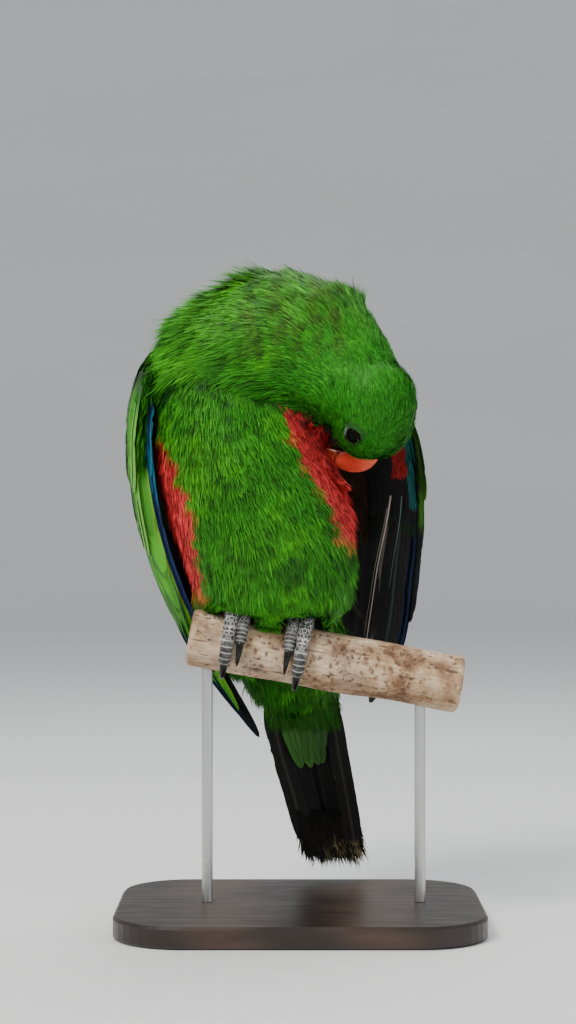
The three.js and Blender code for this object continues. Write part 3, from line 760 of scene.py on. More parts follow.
def coat(name, count, keep, length, spread, lift, slot, blades=FAN, blade_width=0.0003, mottle=0.22):
    count = int(count * COAT)
    root, normal, uv = skin_roots(count, keep)
    lie = lie_at(root, normal)
    colour, red, ruffle = plumage(root)
    up = (root[:, 2] - LIFT) * 1000
    edge = neck_edge(root)
    size = 1 + 0.18 * rng.normal(size=count).clip(-2, 2)
    # Feathers are longest at the neck's lower edge, and short over the feet and in the hollow.
    rim = smoothstep(-0.009, -0.003, edge) * (edge < 0) * smoothstep(0.01, -0.01, root[:, 1])
    rim = rim * smoothstep(0.03, 0.04, from_head(root))
    over_feet = smoothstep(172, 156, up) * smoothstep(0.034, 0.016, root[:, 1]) * (up > 120)
    # They shorten and lie flatter towards the head, and again towards the face.
    away = from_head(root)
    settle = np.where(away > HEAD_REACH, 0.5 + 0.5 * smoothstep(HEAD_REACH, 0.062, away), 1.0)
    behind = np.where(away > HEAD_REACH, 0.0, smoothstep(0.004, -0.02, (root - HEAD_CENTRE) @ forward))
    long = (
        length * size * settle * (1 + 0.25 * behind) * (1 + 0.6 * rim) * (1 - 0.7 * over_feet)
        * (1 - 0.6 * hollow(root))
    )
    tuft = np.exp(-(np.linalg.norm(root - NAPE_TUFT, axis=1) / 0.005) ** 2)
    raised = (
        lift * (0.3 + 0.7 * settle) + 0.12 * ruffle + 0.12 * rim - 0.12 * red
        + 0.06 * rng.normal(size=count) + 0.5 * tuft
    )
    return fans(
        name, root, normal, lie, uv, long, spread * size, raised, colour, coat_material, blades, blade_width,
        slot=slot, mottle=mottle,
    )


def eye_clear(p):
    """Away from the bare ring round either eye."""
    gaps = [np.linalg.norm(p - eye, axis=1) for eye in EYE_AT.values()]
    return np.minimum(*gaps) > 0.0073


def on_head(p):
    return (from_head(p) <= HEAD_REACH) & eye_clear(p)


def on_face(p):
    return on_head(p) & ((p - HEAD_CENTRE) @ forward > 0.006)


def on_torso(p):
    return ~neck_part(p) & (from_head(p) > HEAD_REACH)


for k in range(4):
    coat(f"breast_feathers_{k + 1}", 9800, on_torso, 0.0098, 0.0024, 0.40, "torso_plumage")
for k in range(2):
    coat(f"neck_feathers_{k + 1}", 8200, neck_part, 0.0092, 0.0021, 0.40, "neck_plumage", blade_width=0.00028)
coat("head_feathers", 11500, on_head, 0.0054, 0.0012, 0.22, "head_plumage", FACE_FAN, 0.00019, 0.13)
coat("face_feathers", 7500, on_face, 0.0036, 0.0009, 0.22, "head_plumage", FACE_FAN, 0.00017, 0.12)


# wings and tail:
# The folded wings and the tail lie on bowed sheets, as the solids do. A sheet is drawn through a
# leading, a middle and a trailing line, and each feather lies on it from a root to a tip, which are
# given as shares along and across the sheet and a height above it in millimetres.
class Sheet:
    def __init__(self, leading, middle, trailing, outward):
        self.lines = [Spline([mm(*p) for p in line]) for line in (leading, middle, trailing)]
        self.outward = unit(outward)

    def bare(self, s, t):
        first, middle, last = (line(s) for line in self.lines)
        t = np.asarray(t, float)[:, None]
        control = 2 * middle - (first + last) / 2
        return first * (1 - t) ** 2 + control * 2 * t * (1 - t) + last * t * t

    def normal(self, s, t):
        e = 0.02
        s = np.clip(s, e, 0.93)
        t = np.clip(t, 0.02, 0.98)
        along = self.bare(s + e, t) - self.bare(s - e, t)
        across = self.bare(s, t + e) - self.bare(s, t - e)
        n = unit(np.cross(along, across))
        return n * np.where(n @ self.outward < 0, -1.0, 1.0)[:, None]

    def point(self, s, t, raised):
        return self.bare(s, t) + self.normal(s, t) * np.asarray(raised, float)[:, None] / 1000


right_wing = Sheet(
    [(-77, -18, 293), (-83, -20, 258), (-80, -16, 220), (-71, 2, 181), (-56, 25, 143), (-20, 42, 81)],
    [(-80, 6, 302), (-86, 12, 262), (-84, 17, 222), (-75, 27, 183), (-58, 38, 143), (-20.5, 43, 81)],
    [(-62, 34, 314), (-66, 46, 264), (-60, 52, 222), (-50, 56, 183), (-40, 54, 143), (-19.5, 45, 81)],
    (-1, 0, 0.1),
)
left_wing = Sheet(
    [(51, 4, 282), (62, 8, 248), (66, 18, 214), (66, 36, 181), (61, 62, 138), (41, 104, 95)],
    [(38, 26, 290), (44, 36, 251), (47, 48, 216), (47, 62, 182), (46, 78, 140), (40.5, 105, 95)],
    [(10, 36, 294), (13, 48, 252), (18, 62, 218), (23, 74, 184), (24, 85, 142), (38.5, 104.5, 95)],
    (0.6, 0.8, 0),
)
tail_sheet = Sheet(
    [(-24, 47, 124), (-22, 53, 102), (-17, 60, 78), (-8, 69, 45), (1, 77, 11.5)],
    [(0, 50, 124), (1, 56, 102), (5, 63, 77), (13, 72, 44), (20, 80, 9.8)],
    [(22, 47, 124), (24, 53, 102), (28, 60, 78), (34, 69, 45), (39.5, 77, 11.5)],
    (0, 1, 0.2),
)


def tier(count, roots, tips, stray=0.0):
    """Roots and tips of a row of feathers, spread evenly from the first to the last."""
    k = np.linspace(0, 1, count)[:, None]
    root = np.array(roots[0]) * (1 - k) + np.array(roots[1]) * k
    tip = np.array(tips[0]) * (1 - k) + np.array(tips[1]) * k
    loose = np.array([1.0, 0.6, 6.0]) * stray
    return root, tip + loose * rng.normal(size=(count, 3)).clip(-2, 2)


def join_tiers(*tiers):
    return np.vstack([root for root, _ in tiers]), np.vstack([tip for _, tip in tiers])


VANE_COLUMNS = np.array([-1, -0.8, -0.5, -0.2, -0.06, 0, 0.06, 0.2, 0.5, 0.8, 1])


def vanes(
    name, sheet, feathers, half, paint, material, slot, roll=0.14, camber=0.1, point=0.7, steps=20,
    lifted=0.0, twist=0.0,
):
    """Whole feathers with a shaft, a cambered vane and a slightly torn rim."""
    root, tip = feathers
    count = len(root)
    half = np.broadcast_to(half, count) / 1000
    a = (1 - (1 - np.linspace(0, 1, steps)) ** 1.5)[None, :]
    s, t, raised = (root[:, k : k + 1] * (1 - a) + tip[:, k : k + 1] * a for k in range(3))
    raised = raised + lifted * a**2
    base = sheet.point(s.ravel(), t.ravel(), raised.ravel()).reshape(count, steps, 3)
    normal = sheet.normal(s.ravel(), t.ravel()).reshape(count, steps, 3)
    way = unit(np.gradient(base, axis=1))
    normal = unit(normal - np.sum(normal * way, -1, keepdims=True) * way)
    side = np.cross(normal, way)
    lead = sheet.bare(np.array([0.4]), np.array([0.0])) - sheet.bare(np.array([0.4]), np.array([1.0]))
    sign = 1.0 if np.mean(side @ lead[0]) > 0 else -1.0
    bend = roll + 0.05 * rng.normal(size=(count, 1, 1)) + twist * smoothstep(0.45, 0.9, a)[..., None]
    across = side * np.cos(bend) + normal * np.sin(bend)
    up = np.cross(way, across)
    end = np.clip((a - point) / (1 - point), 0, 1)
    wide = (0.42 + 0.58 * smoothstep(0, 0.32, a)) * np.sqrt(np.clip(1 - end**2, 0, 1)) + 0.02
    off = VANE_COLUMNS[None, None, :]
    torn = np.ones((count, steps, len(VANE_COLUMNS)))
    for column, share in ((0, 1.0), (1, 0.4), (-2, 0.4), (-1, 1.0)):
        nick = 0.05 * rng.uniform(size=(count, steps)) + 0.2 * (rng.uniform(size=(count, steps)) > 0.93)
        torn[:, :, column] -= share * nick * (a > 0.15)
    width = half[:, None, None] * wide[..., None] * torn
    shaft = 0.00022 * (np.abs(off) < 0.03) * (1.2 - a[..., None])
    height = -camber * half[:, None, None] * wide[..., None] * off**2 + shaft
    points = (
        base[:, :, None] + across[:, :, None] * (off * width)[..., None]
        + up[:, :, None] * height[..., None]
    )
    columns = len(VANE_COLUMNS)
    f, i, j = np.meshgrid(np.arange(count), np.arange(steps - 1), np.arange(columns - 1), indexing="ij")
    corner = (f * steps + i) * columns + j
    faces = np.stack([corner, corner + 1, corner + columns + 1, corner + columns], -1).reshape(-1, 4)
    length = np.linalg.norm(base[:, -1] - base[:, 0], axis=-1)[:, None, None]
    grid = np.zeros((count, steps, columns))
    lead_off = off * sign + grid
    share = np.linspace(0, 1, count)[:, None, None] + grid
    tone = rng.normal(size=(count, 1, 1)) + grid
    colour = paint(share, a[..., None] + grid, lead_off, tone, points)
    vane_uv = np.stack([0.5 + 0.5 * off + grid, a[..., None] * length / 0.02 + share * 7.3], -1)
    cells = math.ceil(math.sqrt(count))
    number = np.arange(count)[:, None, None]
    own_uv = np.stack(
        [
            (number % cells + 0.5 + 0.44 * off + grid) / cells,
            (number // cells + 0.06 + 0.88 * a[..., None] + grid) / cells,
        ],
        -1,
    )
    made = mesh_of(
        name,
        points.reshape(-1, 3),
        faces,
        layers=[("Plumage", colour.reshape(-1, 3))],
        uvs=[("OFBake", own_uv.reshape(-1, 2)), ("Vane", vane_uv.reshape(-1, 2))],
    )
    return dress(made, material, slot=slot)


# The barbs run off the shaft at a slant: fine streaks in tone and a fine relief, both along them.
def vane_material(name, roughness, specular, sheen=0.1):
    material, tree = new_material(name)
    tint = stored(tree, "Plumage")
    at = node(
        tree, "ShaderNodeSeparateXYZ", {"Vector": node(tree, "ShaderNodeUVMap", uv_map="Vane").outputs[0]}
    )
    off = math_node(tree, "ABSOLUTE", math_node(tree, "SUBTRACT", at.outputs[0], 0.5))
    barb = math_node(tree, "SUBTRACT", at.outputs[1], times(tree, off, 0.9))
    lines = node(
        tree, "ShaderNodeCombineXYZ", {"X": times(tree, at.outputs[0], 1.6), "Y": times(tree, barb, 34.0)}
    )
    streak = noise(tree, lines.outputs[0], 1.0, 4.0, Roughness=0.65)
    ripple = math_node(tree, "SINE", times(tree, barb, 330.0))
    height = math_node(tree, "ADD", streak, times(tree, ripple, 0.22))
    bump = relief(tree, height, 0.5, 0.0003)
    colour = mix_colour(tree, 0.7, tint, ramp(tree, streak, [(0.3, 0.5), (0.68, 1.0)]), "MULTIPLY")
    finish_material(
        tree,
        Base_Color=colour,
        Roughness=roughness,
        Specular_IOR_Level=specular,
        Sheen_Weight=sheen,
        Normal=bump,
    )
    return material


vane_green = vane_material("covert_vanes", 0.46, 0.35)
vane_dark = vane_material("flight_vanes", 0.5, 0.16, 0.02)

BLUE = np.array([0.006, 0.035, 0.16])
CYAN = np.array([0.010, 0.34, 0.55])
TEAL = np.array([0.010, 0.12, 0.12])
BLACK = np.array([0.006, 0.006, 0.008])
YELLOW_GREEN = np.array([0.36, 0.66, 0.02])
SHAFT = np.array([0.30, 0.24, 0.20])
DOWN_BROWN = np.array([0.045, 0.026, 0.016])


def green_covert(edge=0.6, light=1.0):
    """Green with a yellow-green rim and a dark root; a light below one dims it all as painted shade."""

    def paint(share, a, lead, tone, points):
        colour = blend(GREEN, BRIGHT, np.clip(0.35 + 0.3 * tone, 0, 1)) * 1.25 * light
        colour = blend(
            colour, YELLOW_GREEN, edge * smoothstep(0.5, 0.9, np.abs(lead)) * smoothstep(0.15, 0.4, a)
        )
        colour = blend(colour, YELLOW_GREEN, edge * 0.8 * smoothstep(0.9, 1.0, a))
        colour = blend(colour, BLACK, smoothstep(0.34, 0.0, a) * 0.85)
        colour = blend(colour, BLACK, smoothstep(-0.72, -0.95, lead) * 0.75)
        return blend(colour, DEEP * 0.4, (np.abs(lead) < 0.07) * 0.6)

    return paint


def flight_feather(outer, inner, rim=0.0, shafts=0.5):
    """A dark flight feather whose leading vane is tinted, with its shaft a little paler."""

    def paint(share, a, lead, tone, points):
        colour = blend(inner, outer, smoothstep(-0.1, 0.35, lead) * (0.75 + 0.2 * np.clip(tone, -1, 1)))
        colour = blend(colour, YELLOW_GREEN, rim * smoothstep(0.8, 0.98, lead))
        colour = blend(colour, BLACK, smoothstep(0.75, 0.95, a) * 0.7)
        pale = (np.abs(lead) < 0.08) * shafts * smoothstep(1.0, 0.7, a)
        return blend(colour, SHAFT, pale)

    return paint


def flesh(name, sheet, span, inner, outer, colour, nodes, slot):
    """The wing's or tail's own body under the roots of its feathers, thinning to its rim."""
    rows, columns = 40, 20
    a, b = np.meshgrid(np.linspace(0, 1, rows + 1), np.linspace(0, 1, columns + 1), indexing="ij")
    swell = np.sqrt(np.clip(1 - (2 * b - 1) ** 4, 0, 1)) * np.sqrt(np.clip(1 - (2 * a - 1) ** 6, 0, 1))
    s = span[0][0] + (span[1][0] - span[0][0]) * a
    t = span[0][1] + (span[1][1] - span[0][1]) * b
    upper = sheet.point(s.ravel(), t.ravel(), (0.3 + (outer - 0.3) * swell).ravel())
    lower = sheet.point(s.ravel(), t.ravel(), (inner * swell).ravel())
    i, j = np.meshgrid(np.arange(rows), np.arange(columns), indexing="ij")
    corner = (i * (columns + 1) + j).ravel()
    face = np.stack([corner, corner + 1, corner + columns + 2, corner + columns + 1], -1)
    faces = np.vstack([face, face[:, ::-1] + len(upper)])
    points = np.vstack([upper, lower])
    flat = np.stack([a, b], -1).reshape(-1, 2) * [0.48, 0.9]
    made = mesh_of(
        name,
        points,
        faces,
        layers=[("Plumage", np.tile(colour, (len(points), 1)))],
        uvs=[("OFBake", np.vstack([flat, flat + [0.5, 0]]))],
    )
    return dress(made, down_material, *nodes, slot=slot)


def sheet_tufts(
    name, sheet, span, count, raised, colour, length, spread, lift, slot, lean=(1, 0), inner=False
):
    """Small soft feathers scattered over part of a sheet, on either face of it."""
    count = int(count * COAT)
    s = rng.uniform(span[0][0], span[1][0], count)
    t = rng.uniform(span[0][1], span[1][1], count)
    high = raised(s, t) if callable(raised) else np.full(count, raised)
    root = sheet.point(s, t, high)
    face = sheet.normal(s, t) * (-1 if inner else 1)
    e = 0.02
    step = sheet.bare(np.clip(s + e * lean[0], 0, 1), t + e * lean[1]) - sheet.bare(np.clip(s, 0, 1), t)
    lie = unit(step) + 0.14 * rng.normal(size=(count, 3))
    lie = unit(lie - face * np.sum(lie * face, -1, keepdims=True))
    tint = colour(s, t, root) if callable(colour) else np.tile(colour, (count, 1))
    tint = tint * (1 + 0.14 * rng.normal(size=(count, 1))).clip(0.5, 1.5)
    size = 1 + 0.16 * rng.normal(size=count).clip(-2, 2)
    uv = np.stack([s, t], -1)
    return fans(
        name, root, face, lie, uv, length * size, spread * size, np.full(count, lift), tint, coat_material,
        slot=slot,
    )


# The right wing shows its leading edge: green coverts outside, a blue rim, and dark flight feathers.
right_green = join_tiers(
    tier(11, ([0.3, 0.3, 3.4], [0.22, 0.84, 4.6]), ([0.8, 0.38, 4.6], [0.68, 0.9, 4.4]), 0.008),
    tier(14, ([0.2, 0.1, 5], [0.16, 0.86, 5.6]), ([0.56, 0.14, 6.6], [0.42, 0.88, 7]), 0.008),
    tier(15, ([0.08, 0.08, 5.4], [0.05, 0.84, 6]), ([0.38, 0.1, 7.8], [0.28, 0.86, 8.2]), 0.008),
)
vanes("right_wing_coverts", right_wing, right_green, 7.2, green_covert(0.4), vane_green, "wing_plumage")
right_edge = join_tiers(
    tier(12, ([0.1, 0.03, 0.2], [0.6, 0.04, 0.4]), ([0.3, 0.02, 0.6], [0.84, 0.05, 0.6]), 0.01),
    tier(14, ([0.04, 0.1, 5.4], [0.62, 0.13, 3.4]), ([0.3, 0.06, 6.4], [0.95, 0.16, 2.6]), 0.006),
    tier(9, ([0.24, 0.05, 3.4], [0.56, 0.09, 2.6]), ([0.5, 0.02, 4.0], [0.86, 0.1, 2.4]), 0.01),
)
right_primaries = tier(
    10, ([0.34, 0.08, 0.6], [0.42, 0.62, 2.2]), ([0.985, 0.25, 0.4], [0.84, 0.92, 2.2]), 0.004
)
vanes(
    "right_wing_primaries", right_wing, right_primaries, 7.4, flight_feather(BLUE, BLACK, 0.0, 0.35),
    vane_dark, "wing_plumage", roll=0.16, point=0.6, steps=26, twist=0.9,
)


def right_edge_colour(share, a, lead, tone, points):
    up = (points[..., 2] - LIFT) * 1000
    colour = blend(CYAN * 0.5, BLUE, np.maximum(smoothstep(0.6, -0.3, lead), smoothstep(232, 205, up)))
    green = (np.arange(len(share)) >= 12)[:, None, None] * np.ones_like(a)
    colour = blend(colour, BRIGHT * (0.9 + 0.25 * np.clip(tone, -1, 1))[..., None], green)
    colour = blend(colour, YELLOW_GREEN * 0.9, green * 0.7 * smoothstep(0.7, 1.0, lead))
    colour = blend(colour, BLACK, smoothstep(-0.7, -0.95, lead) * 0.8)
    return blend(colour, BLACK, smoothstep(0.42, 0.05, a) * 0.9)


vanes(
    "right_wing_edge", right_wing, right_edge, 4.4, right_edge_colour, vane_green, "wing_plumage",
    roll=-0.65, steps=18,
)
right_lining = join_tiers(
    tier(9, ([0.08, 0.03, -0.4], [0.5, 0.05, -0.3]), ([0.34, 0.03, -0.8], [0.78, 0.06, -0.6]), 0.006),
    tier(9, ([0.3, 0.14, -0.3], [0.36, 0.5, -0.2]), ([0.95, 0.25, -0.4], [0.78, 0.66, -0.6]), 0.004),
)
vanes(
    "right_wing_lining", right_wing, right_lining, 3.4,
    flight_feather(BLUE * 0.8, np.array([0.012, 0.006, 0.03])),
    vane_dark, "underwing_plumage", roll=-0.1, steps=18,
)
flesh(
    "right_wing_flesh", right_wing, ([0.03, 0.04], [0.5, 0.98]), -0.6, 5.4, DEEP * 0.5, ["wing_right"],
    "wing_plumage",
)


def wing_top(s, t):
    return (
        0.5 + 5.2 * np.sqrt(np.clip(1 - (2 * t - 1) ** 4, 0, 1))
        * np.sqrt(np.clip(1 - (2 * s / 0.5 - 1) ** 6, 0, 1))
    )


def shoulder_green(s, t, root):
    tone = wobble(root, 0.02, 41)[:, None]
    colour = GREEN * (1 + 0.2 * tone)
    # The right shoulder's top, under the neck's base, goes deeper: painted shade under the neck's feathers.
    return blend(colour, DEEP, smoothstep(0.14, 0.02, s) * (root[:, 0] < 0) * 0.6)


sheet_tufts(
    "right_shoulder_feathers", right_wing, ([0.0, 0.0], [0.3, 1.0]), 3700, wing_top, shoulder_green, 0.0085,
    0.002, 0.3, "wing_plumage",
)
sheet_tufts(
    "right_shoulder_lining", right_wing, ([0.0, 0.0], [0.2, 1.0]), 900, 0.4, shoulder_green, 0.0085, 0.002,
    0.15, "wing_plumage", inner=True,
)
sheet_tufts(
    "right_wing_down", right_wing, ([0.42, 0.02], [0.58, 0.16]), 500, -0.8, TEAL * 1.6, 0.006, 0.0016, 0.3,
    "underwing_plumage", inner=True,
)

# The left wing is lifted and shows its black underside, with pale shafts and a teal and red lining.
left_green = join_tiers(
    tier(11, ([0.3, 0.3, 3.4], [0.22, 0.84, 4.6]), ([0.8, 0.38, 4.6], [0.68, 0.9, 4.4]), 0.008),
    tier(14, ([0.2, 0.1, 5], [0.16, 0.86, 5.6]), ([0.56, 0.14, 6.6], [0.42, 0.88, 7]), 0.008),
    tier(15, ([0.08, 0.08, 5.4], [0.05, 0.84, 6]), ([0.38, 0.1, 7.8], [0.28, 0.86, 8.2]), 0.008),
)
vanes("left_wing_coverts", left_wing, left_green, 7.2, green_covert(0.3), vane_green, "wing_plumage")
left_primaries = tier(
    10, ([0.34, 0.08, 1.0], [0.42, 0.62, 2.6]), ([0.985, 0.25, 0.6], [0.84, 0.92, 2.4]), 0.004
)
vanes(
    "left_wing_primaries", left_wing, left_primaries, 7.4, flight_feather(BLUE, BLACK, 0.0, 0.35),
    vane_dark, "wing_plumage", roll=0.16, point=0.6, steps=26,
)
left_edge = join_tiers(
    tier(9, ([0.04, 0.02, 1.6], [0.5, 0.04, 1.4]), ([0.3, 0.0, 2.6], [0.76, 0.06, 2.2]), 0.006),
    tier(8, ([0.04, 0.1, 3.4], [0.4, 0.12, 3.0]), ([0.3, 0.04, 5.0], [0.66, 0.08, 4.4]), 0.006),
)


def left_edge_colour(share, a, lead, tone, points):
    up = (points[..., 2] - LIFT) * 1000
    bright = smoothstep(200, 208, up) * smoothstep(226, 220, up)
    colour = blend(BLACK * 1.5, BRIGHT, bright * smoothstep(0.0, 0.6, lead))
    colour = blend(
        colour, YELLOW_GREEN * 0.7, smoothstep(0.75, 0.95, np.abs(lead)) * smoothstep(200, 215, up) * 0.7
    )
    return blend(colour, DOWN_BROWN * 2, smoothstep(0.85, 1.0, a) * 0.6)


vanes(
    "left_wing_edge", left_wing, left_edge, 3.4, left_edge_colour, vane_green, "wing_plumage", roll=-0.2,
    steps=14,
)


def underwing(share, a, lead, tone, points):
    grey = np.array([0.006, 0.006, 0.007])
    colour = blend(BLACK, grey, np.clip(0.45 + 0.25 * tone, 0, 1))
    colour = blend(colour, grey * 1.7, smoothstep(0.8, 1.0, np.abs(lead)) * 0.6)
    colour = blend(colour, DOWN_BROWN * 1.6, smoothstep(0.93, 1.0, a) * 0.5)
    # Two shafts stand out: a teal-grey one near the leading edge and a pinkish white one behind it.
    first, second = np.abs(share - 0.22) < 0.06, np.abs(share - 0.55) < 0.06
    pale = np.where(first | second, 0.95, 0.08)
    tint = np.where(first[..., None], np.array([0.16, 0.24, 0.24]), np.array([0.62, 0.50, 0.47]))
    return blend(colour, tint, (np.abs(lead) < 0.08) * pale * 0.4 * smoothstep(1.0, 0.6, a))


left_under = tier(10, ([0.3, 0.1, -0.2], [0.4, 0.6, -0.6]), ([0.985, 0.22, -0.5], [0.84, 0.94, -1.4]), 0.003)
vanes(
    "left_wing_primaries_below", left_wing, left_under, 7.0, underwing, vane_dark, "underwing_plumage",
    roll=-0.1, camber=-0.1, point=0.62, steps=26,
)
left_inner = tier(9, ([0.3, 0.5, -0.5], [0.2, 0.92, -0.8]), ([0.8, 0.58, -1.4], [0.66, 0.96, -1.6]), 0.005)
vanes(
    "left_wing_secondaries_below", left_wing, left_inner, 7.6, underwing, vane_dark, "underwing_plumage",
    roll=-0.1, camber=-0.1, steps=22,
)
left_lining = join_tiers(
    tier(11, ([0.16, 0.06, -0.9], [0.12, 0.94, -1.2]), ([0.46, 0.1, -1.6], [0.4, 0.94, -2.0]), 0.008),
    tier(11, ([0.04, 0.06, -1.1], [0.02, 0.94, -1.4]), ([0.3, 0.08, -2.0], [0.26, 0.94, -2.4]), 0.008),
)


def lining(share, a, lead, tone, points):
    row = (np.arange(len(share)) >= 11)[:, None, None]
    across = np.where(row, (share - 0.52) / 0.48, share / 0.48)
    colour = blend(BLACK * 1.4, TEAL, smoothstep(0.16, 0.02, across) * row)
    colour = blend(colour, DOWN_BROWN, smoothstep(0.55, 0.9, across) * 0.8)
    return blend(
        colour, TEAL * 1.4, smoothstep(0.75, 1.0, np.abs(lead)) * smoothstep(0.3, 0.1, across) * row * 0.5
    )


vanes(
    "left_wing_lining", left_wing, left_lining, 6.4, lining, vane_dark, "underwing_plumage",
    roll=-0.12, camber=-0.12, steps=16,
)
flesh(
    "left_wing_flesh", left_wing, ([0.03, 0.04], [0.5, 0.98]), -0.6, 5.4, DEEP * 0.4, ["wing_left"],
    "wing_plumage",
)
sheet_tufts(
    "left_shoulder_feathers", left_wing, ([0.0, 0.0], [0.3, 1.0]), 3100, wing_top, shoulder_green, 0.0085,
    0.002, 0.3, "wing_plumage",
)
sheet_tufts(
    "left_shoulder_lining", left_wing, ([0.0, 0.0], [0.14, 1.0]), 1000, 0.4, shoulder_green, 0.0085, 0.002,
    0.15, "wing_plumage", inner=True,
)
sheet_tufts(
    "left_wing_red_tuft", left_wing, ([0.15, 0.1], [0.27, 0.3]), 230, -1.6, RED * 0.75, 0.0065, 0.0016, 0.3,
    "underwing_plumage", inner=True,
)
sheet_tufts(
    "left_wing_teal_feathers", left_wing, ([0.1, 0.0], [0.36, 0.08]), 240, -1.4, TEAL * 2.2, 0.008, 0.0014,
    0.22, "underwing_plumage", inner=True,
)
sheet_tufts(
    "left_wing_brown_down", left_wing, ([0.18, 0.66], [0.5, 1.0]), 1500, -1.4, DOWN_BROWN, 0.0075, 0.0022,
    0.5, "underwing_plumage", inner=True,
)


# Horn, for the bill and for bare shafts.
horn, tree = new_material("horn")
tint = stored(tree, "Plumage")
place = object_place(tree)
flakes = noise(tree, place, 700.0, 5.0)
bump = relief(tree, flakes, 0.15, 0.0002)
finish_material(
    tree,
    Base_Color=tint,
    Roughness=ramp(tree, flakes, [(0.35, 0.34), (0.65, 0.5)]),
    Specular_IOR_Level=0.25,
    Subsurface_Weight=0.12,
    Subsurface_Radius=(0.004, 0.0015, 0.0008),
    Coat_Weight=0.06,
    Coat_Roughness=0.3,
    Normal=bump,
)

# Two bare shafts show along the lifted wing's dark underside.
def quill(name, sheet, root, tip, thick, colour):
    share = np.linspace(0, 1, 60)
    s, t, raised = (root[k] + (tip[k] - root[k]) * share for k in range(3))
    line = sheet.point(s, t, raised)
    way = unit(np.gradient(line, axis=0))
    side = unit(np.cross(way, sheet.normal(s, t)))
    up = np.cross(side, way)
    turn = np.linspace(0, 2 * math.pi, 8, endpoint=False)
    reach = (thick / 1000 * (1 - 0.75 * share))[:, None, None]
    around = np.cos(turn)[None, :, None] * side[:, None] + 0.6 * np.sin(turn)[None, :, None] * up[:, None]
    points = line[:, None] + reach * around
    made = mesh_of(
        name, points.reshape(-1, 3), tube_faces(59, 8), layers=[("Plumage", np.tile(colour, (480, 1)))]
    )
    return dress(made, horn, slot="underwing_plumage")


quill("pale_shaft", left_wing, (0.36, 0.34, -3.0), (0.84, 0.66, -2.6), 0.62, np.array([0.66, 0.54, 0.51]))
quill("thin_shaft", left_wing, (0.4, 0.39, -3.0), (0.8, 0.68, -2.4), 0.26, np.array([0.42, 0.36, 0.34]))
quill("teal_shaft", left_wing, (0.36, 0.19, -2.6), (0.66, 0.34, -2.0), 0.4, np.array([0.17, 0.27, 0.27]))


# The tail's twelve long feathers are green above and black below with frayed, straw-coloured tips,
# so each lies as a pair of faces. Green coverts run down over both sides of their roots.
def rectrices(raise_by):
    root, tip = [], []
    for k in range(6):
        off = (k + 0.5) / 6
        for side in (-1, 1):
            raised = 3.2 - 1.15 * k - 0.25 * (side + 1) + raise_by
            root.append([0.12, 0.5 + side * off * 0.44, raised])
            tip.append([1 - 0.07 * off * off, 0.5 + side * off * 0.4, raised])
    return np.array(root), np.array(tip)


def tail_under(share, a, lead, tone, points):
    sooty = np.array([0.006, 0.006, 0.006])
    colour = blend(sooty, sooty * 2.1, np.clip(0.4 + 0.3 * tone, 0, 1))
    colour = blend(colour, DEEP * 0.5, smoothstep(0.45, 0.15, a) * 0.5)
    colour = blend(colour, sooty * 3, smoothstep(0.8, 1.0, np.abs(lead)) * 0.5)
    straw = np.array([0.30, 0.25, 0.11])
    colour = blend(colour, straw, smoothstep(0.97, 1.0, a) * 0.5)
    return blend(colour, np.array([0.10, 0.085, 0.07]), (np.abs(lead) < 0.08) * 0.35)


def tail_upper(share, a, lead, tone, points):
    colour = blend(GREEN * 0.8, BLUE * 1.2, smoothstep(0.45, 0.85, a) * 0.75)
    colour = blend(colour, np.array([0.30, 0.25, 0.09]), smoothstep(0.955, 0.99, a) * 0.8)
    return blend(colour, BLACK * 2, (np.abs(lead) < 0.08) * 0.7)


vanes(
    "tail_feathers_below", tail_sheet, rectrices(-0.3), 5.7, tail_under, vane_dark, "tail_plumage",
    roll=0.03, camber=0.04, point=0.86, steps=30,
)
vanes(
    "tail_feathers_above", tail_sheet, rectrices(0.5), 5.2, tail_upper, vane_green, "tail_plumage",
    roll=0.03, camber=0.04, point=0.86, steps=30,
)
tail_coverts = join_tiers(
    tier(7, ([0.02, 0.1, -4.2], [0.02, 0.9, -4.2]), ([0.34, 0.18, -4.8], [0.34, 0.82, -4.8]), 0.01),
    tier(5, ([0.06, 0.26, -3.6], [0.06, 0.74, -3.6]), ([0.6, 0.34, -4.2], [0.56, 0.66, -4.2]), 0.014),
    tier(8, ([0.0, 0.1, -5.0], [0.0, 0.9, -5.0]), ([0.22, 0.14, -5.8], [0.22, 0.86, -5.8]), 0.01),
    tier(8, ([0.02, 0.12, 4.6], [0.02, 0.88, 4.6]), ([0.36, 0.16, 5.2], [0.36, 0.84, 5.2]), 0.01),
)
# The coverts, most of them under the tail, take the covert green at 0.3: painted shade.
vanes(
    "tail_coverts", tail_sheet, tail_coverts, 5.2, green_covert(0.04, 0.3), vane_green, "tail_plumage",
    roll=0.0, camber=0.16, point=0.55,
)
flesh("tail_flesh", tail_sheet, ([0.0, 0.05], [0.34, 0.95]), -5.0, 5.0, DEEP * 0.4, ["tail"], "tail_plumage")
# The feathers under the tail are the green at 0.4: painted shade under the tail.
sheet_tufts(
    "undertail_feathers", tail_sheet, ([0.0, 0.08], [0.26, 0.92]), 1600, -4.6, GREEN * 0.4, 0.014, 0.0026,
    0.16, "tail_plumage", inner=True,
)
sheet_tufts(
    "rump_feathers", tail_sheet, ([0.0, 0.08], [0.26, 0.92]), 1600, 4.6, GREEN, 0.009, 0.002, 0.3,
    "tail_plumage",
)


# Loose, worn barbs fray the tips.
SOOT = np.array([0.014, 0.013, 0.012])
STRAW = np.array([0.34, 0.28, 0.13])


def frayed(s, t, root):
    straw = smoothstep(0.0, 0.6, wobble(root, 0.005, 61)) * smoothstep(0.82, 0.9, s)
    return blend(SOOT, STRAW, straw * smoothstep(0.2, 0.7, t))


